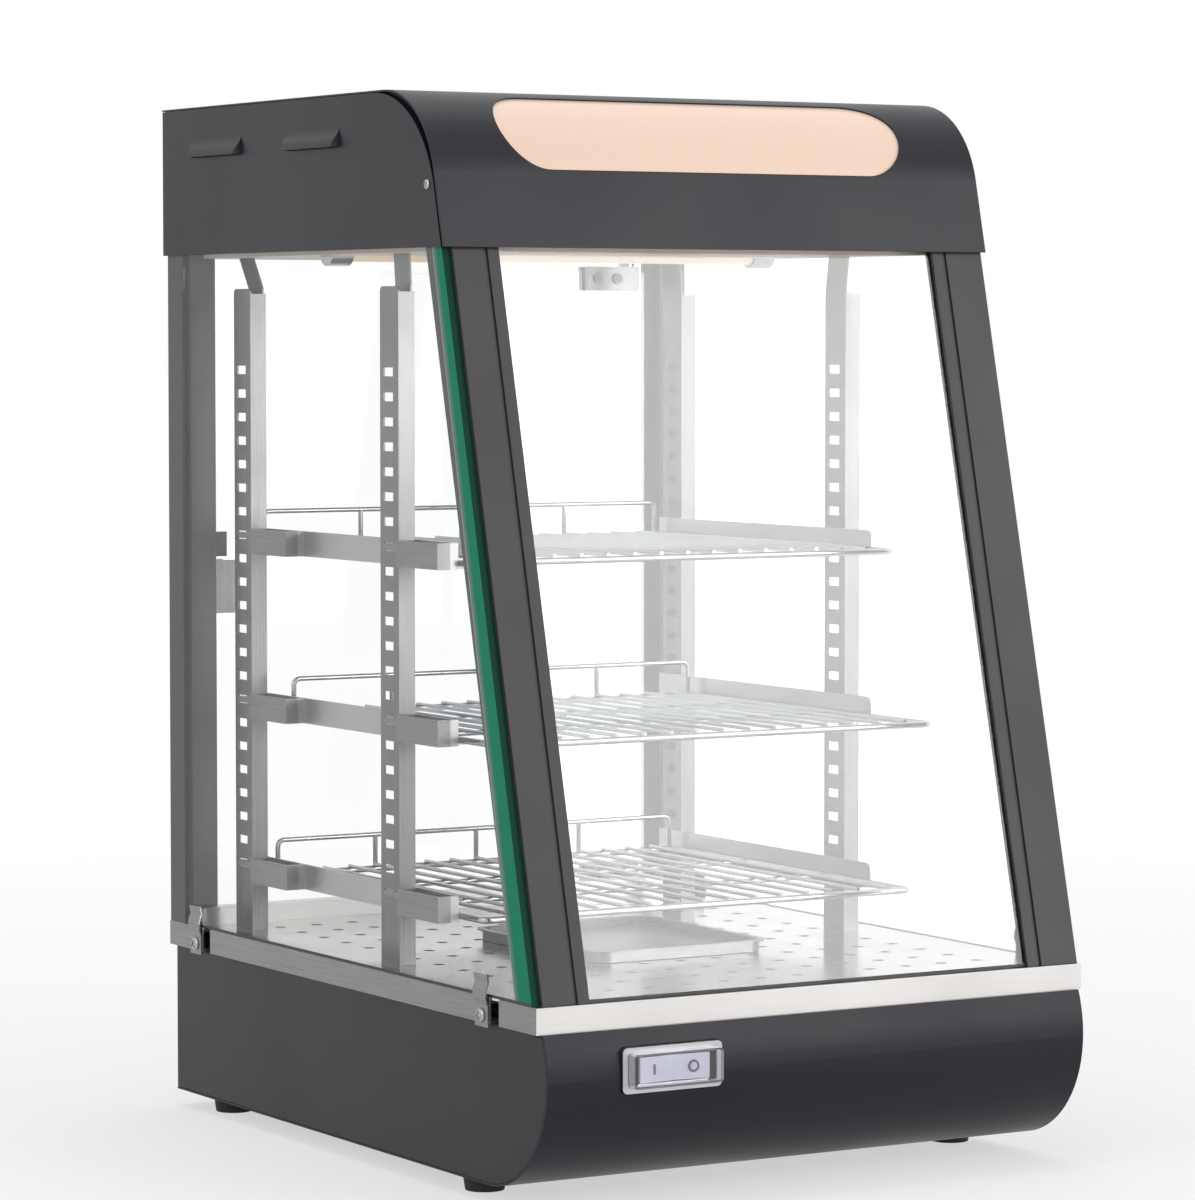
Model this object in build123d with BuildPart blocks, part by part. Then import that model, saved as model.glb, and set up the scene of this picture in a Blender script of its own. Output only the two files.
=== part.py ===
from build123d import *
from math import asin, cos, degrees, radians, sin, tan
import os

os.makedirs("parts", exist_ok=True)

# Counter-top heated display case: a sheet-metal base with the heater, a glazed
# cabinet with three wire shelves, and a curved hood with the lamps and a lit sign.
# Millimetres, +X to the right as seen from the front, the front faces -Y, +Z up.
# The origin is on the surface it stands on, in the middle of the whole outline.

# Overall sizes
case_width = 360.0
case_depth = 450.0
foot_height = 10.0
base_height = 89.5
band_height = 14.5
cabinet_height = 407.5
hood_height = 88.5
front_lean = radians(13.6)

# Clearances
gap = 0.3
pin_clearance = 0.05

# Sheets and glass
base_sheet = 1.2
band_sheet = 1.5
deck_sheet = 1.5
hood_sheet = 1.0
post_sheet = 1.5
bracket_sheet = 1.2
glass_thickness = 5.0
half_turn = 180

# How far the switch cover and the door pull stand out of the steel band
base_bulge = 6.8
cover_depth = 8.2
front_reach = base_bulge + cover_depth
rear_reach = 14.0

# Base
base_inset = 3.0
base_corner = 64.0
base_lip = 2.0
lip_width = 8.0
flange_width = 10.0
ledge_width = 14.0
gland_radius = 6.0
gland_from_side = 70.0
gland_height = 24.0
gland_collar = 10.0
gland_bore = 3.5
gland_nut = 4.0
gland_length = 10.0
vent_length = 34.0
vent_width = 3.5
vent_pitch_x = 50.0
vent_pitch_z = 10.0
vent_columns = 4
vent_rows = 3
vent_x = 30.0
vent_height = 45.0

# Feet
foot_radius = 12.5
foot_taper = 1.5
foot_from_side = 23.0
foot_from_front = 97.0
foot_from_rear = 41.0
foot_recess = 5.0
foot_recess_depth = 4.0
foot_screw_radius = 2.0
foot_screw_head = 4.0
foot_screw_head_height = 2.4
foot_screw_reach = 4.0

# Deck
perforation_radius = 3.5
perforation_pitch_x = 33.0
perforation_pitch_y = 52.0
perforation_columns = 9
perforation_rows = 7
perforation_from_front = 205.0
sill_height = 11.0
sill_depth = 11.5
sill_from_rear = 38.0

# Posts and panes
post_setback = 3.0
post_inset = 5.7
post_face_width = 19.7
strip_groove = 2.4
groove_depth = 1.2
strip_width = 9.6
post_face = 2.0
post_flange_depth = 26.0
tuck = 12.0
side_glass_from_rear = 21.0
rear_post_inset = 23.0
rear_post_depth = 23.5
rear_post_from_rear = 0.5

# Glass clips on the band
clip_width = 14.0
clip_from_front = 58.0
clip_from_rear = 38.0
clip_drop = 2.0
clip_joggle_start = 10.0
clip_joggle_end = 13.5
clip_return_start = 18.5
clip_return_end = 22.5
clip_top = 27.3
clip_joggle = 1.4
clip_lip = 0.9
clip_screw_radius = 4.0
clip_screw_height = 2.0
clip_screw_shank = 1.6
clip_screw_level = 4.2
clip_notch = 10.5
clip_notch_depth = 8.0

# Shelf uprights
upright_inset = {"left": 22.8, "right": 36.3}
upright_from_front = 191.5
upright_from_rear = 72.0
upright_depth = 22.0
upright_flange = 10.4
upright_drop = 20.5
upright_corner = 3.0
hole_length = 11.5
hole_height = 5.0
hole_setback = 12.4
hole_pitch = 14.2
first_hole_drop = 48.7
last_hole_rise = 30.0
strap_width = {"left": 18.0, "right": 21.0}
strap_back = {"left": 2.5, "right": 0.5}
strap_overlap = 14.0
strap_lean = {"front_left": 2.0, "rear_left": 12.5, "front_right": -3.0, "rear_right": 2.0}

# Shelf rails and wire shelves
rail_tab_rise = 11.0
rail_height = 15.0
rail_flange = 14.0
rail_front_reach = {"left": 39.0, "right": 30.5}
rail_rear_reach = 24.0
rail_corner = 6.0
hook_reach = 48.0
tab_width = 7.0
tab_height = 3.6
tab_length = 3.3
shelf_from_front = {"top": 134.0, "middle": 94.0, "bottom": 116.0}
shelf_clearance = 184.0
shelf_corner = 4.0
frame_rod = 2.0
wire_radius = 1.2
wire_count = 15
cross_rod = 1.5
cross_rod_count = 2
guard_height = 21.0
guard_posts = 3
weld = 0.2

# Hood
hood_overhang = 1.3
hood_rear_overhang = 3.0
hood_radius = 60.0
hood_step = 3.0
plate_radius = 72.0
plate_setback = 2.9
joggle_depth = 4.0
joggle_bottom = 15.0
louvre_length = 66.0
louvre_rise = 12.0
louvre_depth = 4.0
louvre_from_rear = (196.0, 71.5)
louvre_drop = 30.0
window_inset = 46.0
window_height = 56.0
window_depth = 12.0
window_rise = radians(42.4)
sign_thickness = 2.0
sign_inset = 30.0
sign_start = 8
sign_sweep = 72
hood_screw_setback = 18.4
hood_screw_rise = 34.5
hood_screw_radius = 2.8
hood_screw_height = 1.4
hood_screw_shank = 1.6
hood_screw_length = 6.0

# Ceiling and lamps
ceiling_inset = 15.0
ceiling_drop = 1.8
ceiling_rim = 4.5
ceiling_setback = 21.4
ceiling_to_rear = 3.0
lamp_from_front = 290.0
lamp_radius = 6.0
lamp_inset = 23.5
lamp_rise = 0.5
lamp_seat = 4.0
holder_radius = 8.5
holder_length = 10.0
holder_tab_width = 28.0
holder_tab_sheet = 1.5
sign_lamp_setback = 14.8
sign_lamp_rise = 10.0
sign_lamp_inset = 30.0
sign_bracket_width = 16.0
sign_bracket_foot = 12.0

# Rear door
door_side_gap = 3.9
door_from_rear = 11.0
door_rise = 2.0
door_drop = 8.5
hinge_inset = 12.1
clamp_reach = 32.0
clamp_height = 15.4
clamp_cheek = 4.0
clamp_core = 6.0
clamp_core_height = 11.0
clamp_screw_radius = 3.4
clamp_screw_height = 1.5
clamp_screw_shank = 1.6
clamp_screw_inset = (25.0, 10.5)
pivot_radius = 2.5
pivot_reach = 8.0
pivot_bore_reach = 9.0
pivot_foot_radius = 5.5
pivot_foot_height = 3.5
pivot_cap_height = 2.8
handle_rise = 189.0
handle_height = 32.0
handle_width = 17.0
handle_plate = 3.5
handle_web = 4.0
handle_pin = 3.0
catch_rise = 3.0
catch_height = 15.0
catch_width = 11.0
catch_thickness = 5.0

# Water pan
pan_width = 119.0
pan_depth = 142.0
pan_height = 7.0
pan_wall = 1.0
pan_corner = 12.0
pan_rim = 3.0
pan_from_front = 133.0
pan_x = -5.0

# Switch
switch_from_side = 80.5
switch_drop = 22.0
switch_width = 63.0
switch_height = 25.0
switch_corner = 3.0
switch_proud = 1.6
switch_opening_width = 47.0
switch_opening_height = 15.0
switch_body_depth = 24.0
switch_flange = 3.0
switch_flange_sheet = 2.0
switch_flange_back = 5.0
cover_width = 57.0
cover_height = 19.0
cover_corner = 2.5
cover_wall = 1.2
rocker_half = 22.0
rocker_height = 14.0
rocker_thickness = 6.0
rocker_rise = 2.0
rocker_edge = 3.0
rocker_pin = 1.5
rocker_pin_reach = 1.5

# Heater and its controls
element_radius = 4.0
element_bend = 30.0
element_inset = 23.0
element_inner = 35.0
element_from_front = 90.0
element_return_from_rear = 105.0
element_from_rear = 65.0
shield_inset = 30.0
shield_from_front = 60.0
shield_from_rear = 40.0
shield_drop = 29.5
bracket_inset = 22.0
bracket_height = 9.0
bracket_width = 16.0
bracket_from_end = 150.0
terminal_width = 44.0
terminal_depth = 22.0
terminal_height = 24.0
thermostat_radius = 12.0
thermostat_height = 11.0
thermostat_from_rear = 39.0

# Places worked out from the sizes
sides = {"left": -1, "right": 1}
corner = (Align.MIN, Align.MIN)
half_width = case_width / 2
front = (front_reach - rear_reach - case_depth) / 2
rear = front + case_depth
middle_y = (front + rear) / 2
base_floor = foot_height
floor_top = base_floor + base_sheet
band_bottom = base_floor + base_height
deck_level = band_bottom + band_height
deck_under = deck_level - deck_sheet
hood_bottom = deck_level + cabinet_height
case_top = hood_bottom + hood_height
base_half = half_width - base_inset
base_front = front - base_bulge
base_rear = rear - base_inset
bulge_level = base_floor + base_corner
lip_front = front - base_lip
upper_rise = band_bottom - bulge_level
upper_drop = base_bulge - base_lip
upper_radius = (upper_rise**2 + upper_drop**2) / (2 * upper_drop)
skirt_inner = half_width - band_sheet
post_half = half_width - post_inset
strip_outer = post_half - post_face_width
strip_inner = strip_outer - strip_width
post_inner = half_width - rear_post_inset
post_rear = rear - rear_post_from_rear
pane_outer = post_half + gap + glass_thickness
pane_rear = rear - side_glass_from_rear
hood_half = half_width + hood_overhang
hood_rear = rear + hood_rear_overhang
hood_front = front + post_setback - hood_step + cabinet_height * tan(front_lean)
hood_under = case_top - hood_sheet
plate_crown = hood_under - gap
curve_z = case_top - hood_radius
curve_y = hood_front + hood_radius * cos(front_lean)
curve_y += (curve_z + hood_radius * sin(front_lean) - hood_bottom) * tan(front_lean)
ceiling_under = hood_bottom - ceiling_drop
foot_places = [
    (side * (half_width - foot_from_side), y)
    for side in (-1, 1)
    for y in (front + foot_from_front, rear - foot_from_rear)
]


# Plane facing the front at a given Y: sketch x is X, sketch y is Z.
def facing_front(y):
    return Plane.XZ.offset(-y)


# Plane facing right at a given X: sketch x is Y, sketch y is Z.
def facing_right(x):
    return Plane.YZ.offset(x)


# Outwards or inwards alignment of a rectangle for one side.
def outwards(side):
    return Align.MIN if side > 0 else Align.MAX


# Closed outline between two set-backs of the cabinet's leaning front.
def leaning_outline(near, far, bottom, top):
    low = front + post_setback + (bottom - deck_level) * tan(front_lean)
    high = front + post_setback + (top - deck_level) * tan(front_lean)
    near_side = (low + near, bottom), (high + near, top)
    far_side = (high + far, top), (low + far, bottom)
    return Polyline(*near_side, *far_side, close=True)


# The base's front below the band at a given inset: an upper arc and a lower quarter.
def base_arcs(inset, top):
    radius = upper_radius - inset
    sweep_angle = degrees(asin((top - bulge_level) / radius))
    upper = CenterArc((base_front + upper_radius, bulge_level), radius, half_turn - sweep_angle, sweep_angle)
    lower = CenterArc((base_front + base_corner, bulge_level), base_corner - inset, half_turn, half_turn / 2)
    return upper, lower


# The hood's top curve and leaning front at a given inset, radius, setback and crown.
def hood_curve(inset, radius, setback, crown, bottom):
    centre_z = crown - radius
    start_z = centre_z + radius * sin(front_lean)
    line_y = hood_front + setback + (start_z - hood_bottom) * tan(front_lean)
    centre = (line_y + radius * cos(front_lean), centre_z)
    arc = CenterArc(centre, radius - inset, half_turn / 2, half_turn / 2 - degrees(front_lean))
    base_y = hood_front + setback + inset / cos(front_lean) + (bottom - hood_bottom) * tan(front_lean)
    return arc, Line((base_y, bottom), arc @ 1)


# Base: one sheet wraps the front and runs back as the floor.
switch_x = switch_from_side - half_width
switch_level = band_bottom - switch_drop
switch_hole_width = switch_width + 2 * gap
switch_hole_height = switch_height + 2 * gap
with BuildPart() as base_shell:
    with BuildSketch(facing_right(-base_half)):
        with BuildLine():
            outer_top, outer_low = base_arcs(0, band_bottom)
            inner_top, inner_low = base_arcs(base_sheet, band_bottom)
            Polyline(outer_low @ 1, (base_rear, base_floor), (base_rear, floor_top), inner_low @ 1)
            Line(outer_top @ 0, inner_top @ 0)
        make_face()
    extrude(amount=2 * base_half)
    with BuildSketch(Plane.XY.offset(band_bottom)):
        with Locations((0, lip_front + base_sheet)):
            Rectangle(2 * base_half, lip_width, align=(Align.CENTER, Align.MIN))
    extrude(amount=-base_sheet)
    with BuildSketch(facing_front(base_front - gap)):
        with Locations((switch_x, switch_level)):
            RectangleRounded(switch_hole_width, switch_hole_height, switch_corner)
    extrude(amount=-switch_flange_back, mode=Mode.SUBTRACT)
    with BuildSketch(Plane.XY.offset(base_floor)):
        with Locations(*foot_places):
            Circle(foot_screw_radius + pin_clearance)
    extrude(amount=base_sheet, mode=Mode.SUBTRACT)
base_shell.part.label = "base_shell"
export_step(base_shell.part, "parts/base_shell.step")

# Base sides: flat plates that close the ends of the wrap, with a foot flange.
side_floor = floor_top + gap
lip_under = band_bottom - base_sheet - gap
side_rear = base_rear - base_sheet - gap
lip_end = lip_front + base_sheet + lip_width + gap
for name, side in sides.items():
    with BuildPart() as base_side:
        with BuildSketch(facing_right(side * base_half)):
            with BuildLine():
                side_top, side_low = base_arcs(base_sheet + gap, lip_under)
                Polyline(
                    side_low @ 1,
                    (side_rear, side_floor),
                    (side_rear, band_bottom),
                    (lip_end, band_bottom),
                    (lip_end, lip_under),
                    side_top @ 0,
                )
            make_face()
        extrude(amount=-side * base_sheet)
        with BuildSketch(Plane.XY.offset(side_floor)):
            with Locations((side * (base_half - flange_width / 2), middle_y)):
                Rectangle(flange_width, case_depth / 2)
        extrude(amount=base_sheet)
    base_side.part.label = f"base_side_{name}"
    export_step(base_side.part, f"parts/base_side_{name}.step")

# Base back: closes the rear, with the cable gland's hole and the vent slots.
gland_x = gland_from_side - half_width
with BuildPart() as base_back_panel:
    with BuildSketch(facing_front(base_rear)):
        with Locations((0, (side_floor + band_bottom) / 2)):
            Rectangle(2 * (base_half - gap), band_bottom - side_floor)
        with Locations((gland_x, base_floor + gland_height)):
            Circle(gland_radius, mode=Mode.SUBTRACT)
        with Locations((vent_x, base_floor + vent_height)):
            with GridLocations(vent_pitch_x, vent_pitch_z, vent_columns, vent_rows):
                SlotOverall(vent_length, vent_width, mode=Mode.SUBTRACT)
    extrude(amount=base_sheet)
base_back_panel.part.label = "base_back_panel"
export_step(base_back_panel.part, "parts/base_back_panel.step")

# Cable gland: hexagonal collar outside, thread through the panel and nut inside.
with BuildPart() as cable_gland:
    with BuildSketch(facing_front(base_rear)):
        with Locations((gland_x, base_floor + gland_height)):
            RegularPolygon(gland_collar, 6)
    extrude(amount=-gland_length)
    with BuildSketch(facing_front(base_rear)):
        with Locations((gland_x, base_floor + gland_height)):
            Circle(gland_radius - pin_clearance)
    extrude(amount=base_sheet)
    with BuildSketch(facing_front(base_rear - base_sheet)):
        with Locations((gland_x, base_floor + gland_height)):
            Circle(gland_collar)
    extrude(amount=gland_nut)
    with BuildSketch(facing_front(base_rear + gland_length)):
        with Locations((gland_x, base_floor + gland_height)):
            Circle(gland_bore)
    extrude(amount=gland_length + base_sheet + gland_nut, mode=Mode.SUBTRACT)
cable_gland.part.label = "cable_gland"
export_step(cable_gland.part, "parts/cable_gland.step")

# Feet: four tapered rubber pads, each with a recess for its screw.
with BuildPart() as rubber_feet:
    with Locations(*foot_places):
        Cone(
            foot_radius - foot_taper,
            foot_radius,
            foot_height,
            align=(Align.CENTER, Align.CENTER, Align.MIN),
        )
    with BuildSketch(Plane.XY):
        with Locations(*foot_places):
            Circle(foot_recess)
    extrude(amount=foot_recess_depth, mode=Mode.SUBTRACT)
    with BuildSketch(Plane.XY.offset(foot_recess_depth)):
        with Locations(*foot_places):
            Circle(foot_screw_radius + pin_clearance)
    extrude(amount=foot_height - foot_recess_depth, mode=Mode.SUBTRACT)
rubber_feet.part.label = "rubber_feet"
export_step(rubber_feet.part, "parts/rubber_feet.step")

with BuildPart() as foot_screws:
    with BuildSketch(Plane.XY.offset(foot_recess_depth)):
        with Locations(*foot_places):
            Circle(foot_screw_head)
    extrude(amount=-foot_screw_head_height)
    with BuildSketch(Plane.XY.offset(foot_recess_depth)):
        with Locations(*foot_places):
            Circle(foot_screw_radius)
    extrude(amount=foot_height - foot_recess_depth + base_sheet + foot_screw_reach)
foot_screws.part.label = "foot_screws"
export_step(foot_screws.part, "parts/foot_screws.step")

# Deck frame: the steel band, with a bottom flange, a ledge and a notch before each clip.
clip_places = (front + clip_from_front, rear - clip_from_rear)
with BuildPart() as deck_frame:
    with BuildSketch(Plane.XY.offset(band_bottom)):
        with Locations((0, middle_y)):
            Rectangle(case_width, case_depth)
            Rectangle(2 * skirt_inner, case_depth - 2 * band_sheet, mode=Mode.SUBTRACT)
    extrude(amount=band_height)
    with BuildSketch(Plane.XY.offset(band_bottom)):
        with Locations((0, middle_y)):
            Rectangle(case_width, case_depth)
            Rectangle(
                2 * (skirt_inner - flange_width),
                case_depth - 2 * (band_sheet + flange_width),
                mode=Mode.SUBTRACT,
            )
    extrude(amount=band_sheet)
    with BuildSketch(Plane.XY.offset(deck_under)):
        with Locations((0, middle_y)):
            Rectangle(case_width, case_depth)
            Rectangle(
                2 * (skirt_inner - ledge_width),
                case_depth - 2 * (band_sheet + ledge_width),
                mode=Mode.SUBTRACT,
            )
    extrude(amount=-band_sheet)
    for side in (-1, 1):
        with BuildSketch(facing_right(side * half_width)):
            for y in clip_places:
                with Locations((y - (clip_width + clip_notch) / 2, band_bottom)):
                    Rectangle(clip_notch, band_height, align=(Align.CENTER, Align.MIN))
        extrude(amount=-side * clip_notch_depth, mode=Mode.SUBTRACT)
        with BuildSketch(facing_right(side * half_width)):
            for y in clip_places:
                with Locations((y, band_bottom + clip_screw_level)):
                    Circle(clip_screw_shank + pin_clearance)
        extrude(amount=-side * band_sheet, mode=Mode.SUBTRACT)
deck_frame.part.label = "deck_frame"
export_step(deck_frame.part, "parts/deck_frame.step")

# Deck plate: let into the band, with staggered round holes.
perforation_centre = front + perforation_from_front
with BuildPart() as deck_plate:
    with BuildSketch(Plane.XY.offset(deck_level)):
        with Locations((0, middle_y)):
            Rectangle(2 * (skirt_inner - gap), case_depth - 2 * (band_sheet + gap))
        for columns, rows in (
            (perforation_columns, perforation_rows),
            (perforation_columns - 1, perforation_rows - 1),
        ):
            with Locations((0, perforation_centre)):
                with GridLocations(perforation_pitch_x, perforation_pitch_y, columns, rows):
                    Circle(perforation_radius, mode=Mode.SUBTRACT)
    extrude(amount=-deck_sheet)
deck_plate.part.label = "deck_plate"
export_step(deck_plate.part, "parts/deck_plate.step")

# Rear sill: an inverted channel in front of the rear posts.
sill_y = rear - sill_from_rear + sill_depth / 2
with BuildPart() as rear_sill:
    with BuildSketch(facing_right(-post_half)):
        with Locations((sill_y, deck_level)):
            Rectangle(sill_depth, sill_height, align=(Align.CENTER, Align.MIN))
            Rectangle(
                sill_depth - 2 * bracket_sheet,
                sill_height - bracket_sheet,
                align=(Align.CENTER, Align.MIN),
                mode=Mode.SUBTRACT,
            )
    extrude(amount=2 * post_half)
rear_sill.part.label = "rear_sill"
export_step(rear_sill.part, "parts/rear_sill.step")

# Glass clips: bent straps screwed to the band that press on the side panes.
strap_middle = half_width + bracket_sheet / 2
lip_middle = pane_outer + gap + bracket_sheet / 2
with BuildPart() as glass_clips:
    for side in (-1, 1):
        for y in clip_places:
            with BuildSketch(facing_front(y + clip_width / 2)):
                with BuildLine():
                    Polyline(
                        (side * strap_middle, band_bottom - clip_drop),
                        (side * strap_middle, band_bottom + clip_joggle_start),
                        (side * (strap_middle + clip_joggle), band_bottom + clip_joggle_end),
                        (side * (strap_middle + clip_joggle), band_bottom + clip_return_start),
                        (side * lip_middle, band_bottom + clip_return_end),
                        (side * (lip_middle + clip_lip), band_bottom + clip_top),
                    )
                trace(line_width=bracket_sheet)
            extrude(amount=clip_width)
        with BuildSketch(facing_right(side * half_width)):
            for y in clip_places:
                with Locations((y, band_bottom + clip_screw_level)):
                    Circle(clip_screw_shank + pin_clearance)
        extrude(amount=side * bracket_sheet, mode=Mode.SUBTRACT)
glass_clips.part.label = "glass_clips"
export_step(glass_clips.part, "parts/glass_clips.step")

with BuildPart() as clip_screws:
    for side in (-1, 1):
        with BuildSketch(facing_right(side * (half_width + bracket_sheet))):
            for y in clip_places:
                with Locations((y, band_bottom + clip_screw_level)):
                    Circle(clip_screw_radius)
        extrude(amount=side * clip_screw_height)
        with BuildSketch(facing_right(side * (half_width + bracket_sheet))):
            for y in clip_places:
                with Locations((y, band_bottom + clip_screw_level)):
                    Circle(clip_screw_shank)
        extrude(amount=-side * (bracket_sheet + 2 * band_sheet))
clip_screws.part.label = "clip_screws"
export_step(clip_screws.part, "parts/clip_screws.step")

# Side panes: the front edge follows the lean, the upper edge is tucked into the hood.
glass_bottom = deck_level + gap
glass_top = hood_bottom + tuck
pane_low = front + post_setback + post_face + gap
pane_high = pane_low + (glass_top - glass_bottom) * tan(front_lean)
for name, side in sides.items():
    with BuildPart() as side_glass:
        with BuildSketch(facing_right(side * pane_outer)):
            with BuildLine():
                Polyline(
                    (pane_low, glass_bottom),
                    (pane_high, glass_top),
                    (pane_rear, glass_top),
                    (pane_rear, glass_bottom),
                    close=True,
                )
            make_face()
        extrude(amount=-side * glass_thickness)
    side_glass.part.label = f"side_glass_{name}"
    export_step(side_glass.part, f"parts/side_glass_{name}.step")

# Front posts: a grooved face, a side flange and a channel that holds the front pane.
# The right post's face also covers the edge of its side pane.
post_cover = {"left": post_half, "right": pane_outer}
web_inner = strip_outer - strip_groove
channel_back = post_face + glass_thickness + 2 * gap
groove_low = deck_level - groove_depth
groove_high = glass_top + groove_depth
for name, side in sides.items():
    with BuildPart() as front_post:
        with BuildSketch(facing_right(side * strip_inner)):
            with BuildLine():
                leaning_outline(0, post_face, deck_level, glass_top)
            make_face()
        extrude(amount=side * (post_cover[name] - strip_inner))
        with BuildSketch(facing_right(side * post_half)):
            with BuildLine():
                leaning_outline(0, post_flange_depth, deck_level, glass_top)
            make_face()
        extrude(amount=-side * post_sheet)
        with BuildSketch(facing_right(side * web_inner)):
            with BuildLine():
                leaning_outline(0, channel_back + post_sheet, deck_level, glass_top)
            make_face()
        extrude(amount=side * strip_groove)
        with BuildSketch(facing_right(side * strip_inner)):
            with BuildLine():
                leaning_outline(channel_back, channel_back + post_sheet, deck_level, glass_top)
            make_face()
        extrude(amount=side * (strip_outer - strip_inner))
        with BuildSketch(facing_right(side * web_inner)):
            with BuildLine():
                leaning_outline(-groove_depth, groove_depth, groove_low, groove_high)
            make_face()
        extrude(amount=side * strip_groove, mode=Mode.SUBTRACT)
    front_post.part.label = f"front_post_{name}"
    export_step(front_post.part, f"parts/front_post_{name}.step")

# Front pane: held in the channels of the two posts.
pane_near = post_face + gap
with BuildPart() as front_glass:
    with BuildSketch(facing_right(gap - web_inner)):
        with BuildLine():
            leaning_outline(pane_near, pane_near + glass_thickness, glass_bottom, glass_top)
        make_face()
    extrude(amount=2 * (web_inner - gap))
front_glass.part.label = "front_glass"
export_step(front_glass.part, "parts/front_glass.step")

# Rear posts: tubes with a step that the side panes end against.
for name, side in sides.items():
    with BuildPart() as rear_post:
        with BuildSketch(Plane.XY.offset(deck_level)):
            with Locations((side * post_inner, post_rear)):
                Rectangle(post_half - post_inner, rear_post_depth, align=(outwards(side), Align.MAX))
                Rectangle(
                    pane_outer - post_inner,
                    post_rear - pane_rear - gap,
                    align=(outwards(side), Align.MAX),
                )
            offset(amount=-post_sheet, mode=Mode.SUBTRACT)
        extrude(amount=cabinet_height + tuck)
    rear_post.part.label = f"rear_post_{name}"
    export_step(rear_post.part, f"parts/rear_post_{name}.step")

# Shelf uprights: angle strips with a row of slots, each with a strap up to the ceiling.
upright_top = hood_bottom - upright_drop
first_hole = upright_top - first_hole_drop
hole_count = 1 + int((first_hole - deck_level - last_hole_rise) / hole_pitch)
upright_x = {name: side * (half_width - upright_inset[name]) for name, side in sides.items()}
upright_front = {"front": front + upright_from_front, "rear": rear - upright_from_rear}
strap_low = upright_top - upright_corner - strap_overlap
strap_x = {
    "left": upright_x["left"] + upright_flange - bracket_sheet,
    "right": upright_x["right"],
}
for row, upright_y in upright_front.items():
    for name, x in upright_x.items():
        strap_foot = upright_y + strap_back[name]
        strap_head = strap_foot + strap_lean[f"{row}_{name}"]
        with BuildPart() as upright:
            with BuildSketch(facing_right(x)):
                with BuildLine():
                    outline = FilletPolyline(
                        (upright_y, deck_level),
                        (upright_y, upright_top),
                        (upright_y + upright_depth, upright_top),
                        (upright_y + upright_depth, deck_level),
                        radius=upright_corner,
                    )
                    Line(outline @ 0, outline @ 1)
                make_face()
                for index in range(hole_count):
                    with Locations((upright_y + hole_setback, first_hole - index * hole_pitch)):
                        Rectangle(hole_length, hole_height, mode=Mode.SUBTRACT)
            extrude(amount=bracket_sheet)
            with BuildSketch(facing_front(upright_y)):
                with Locations((x, deck_level)):
                    Rectangle(upright_flange, upright_top - upright_corner - deck_level, align=corner)
            extrude(amount=-bracket_sheet)
            with BuildSketch(facing_right(strap_x[name])):
                with BuildLine():
                    Polyline(
                        (strap_foot, strap_low),
                        (strap_foot, upright_top),
                        (strap_head, ceiling_under),
                        (strap_head + strap_width[name], ceiling_under),
                        (strap_foot + strap_width[name], upright_top),
                        (strap_foot + strap_width[name], strap_low),
                        close=True,
                    )
                make_face()
                with Locations((upright_y, strap_low)):
                    Rectangle(strap_back[name] + strap_width[name], strap_overlap, align=corner)
            extrude(amount=bracket_sheet)
        upright.part.label = f"upright_{row}_{name}"
        export_step(upright.part, f"parts/upright_{row}_{name}.step")

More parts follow.
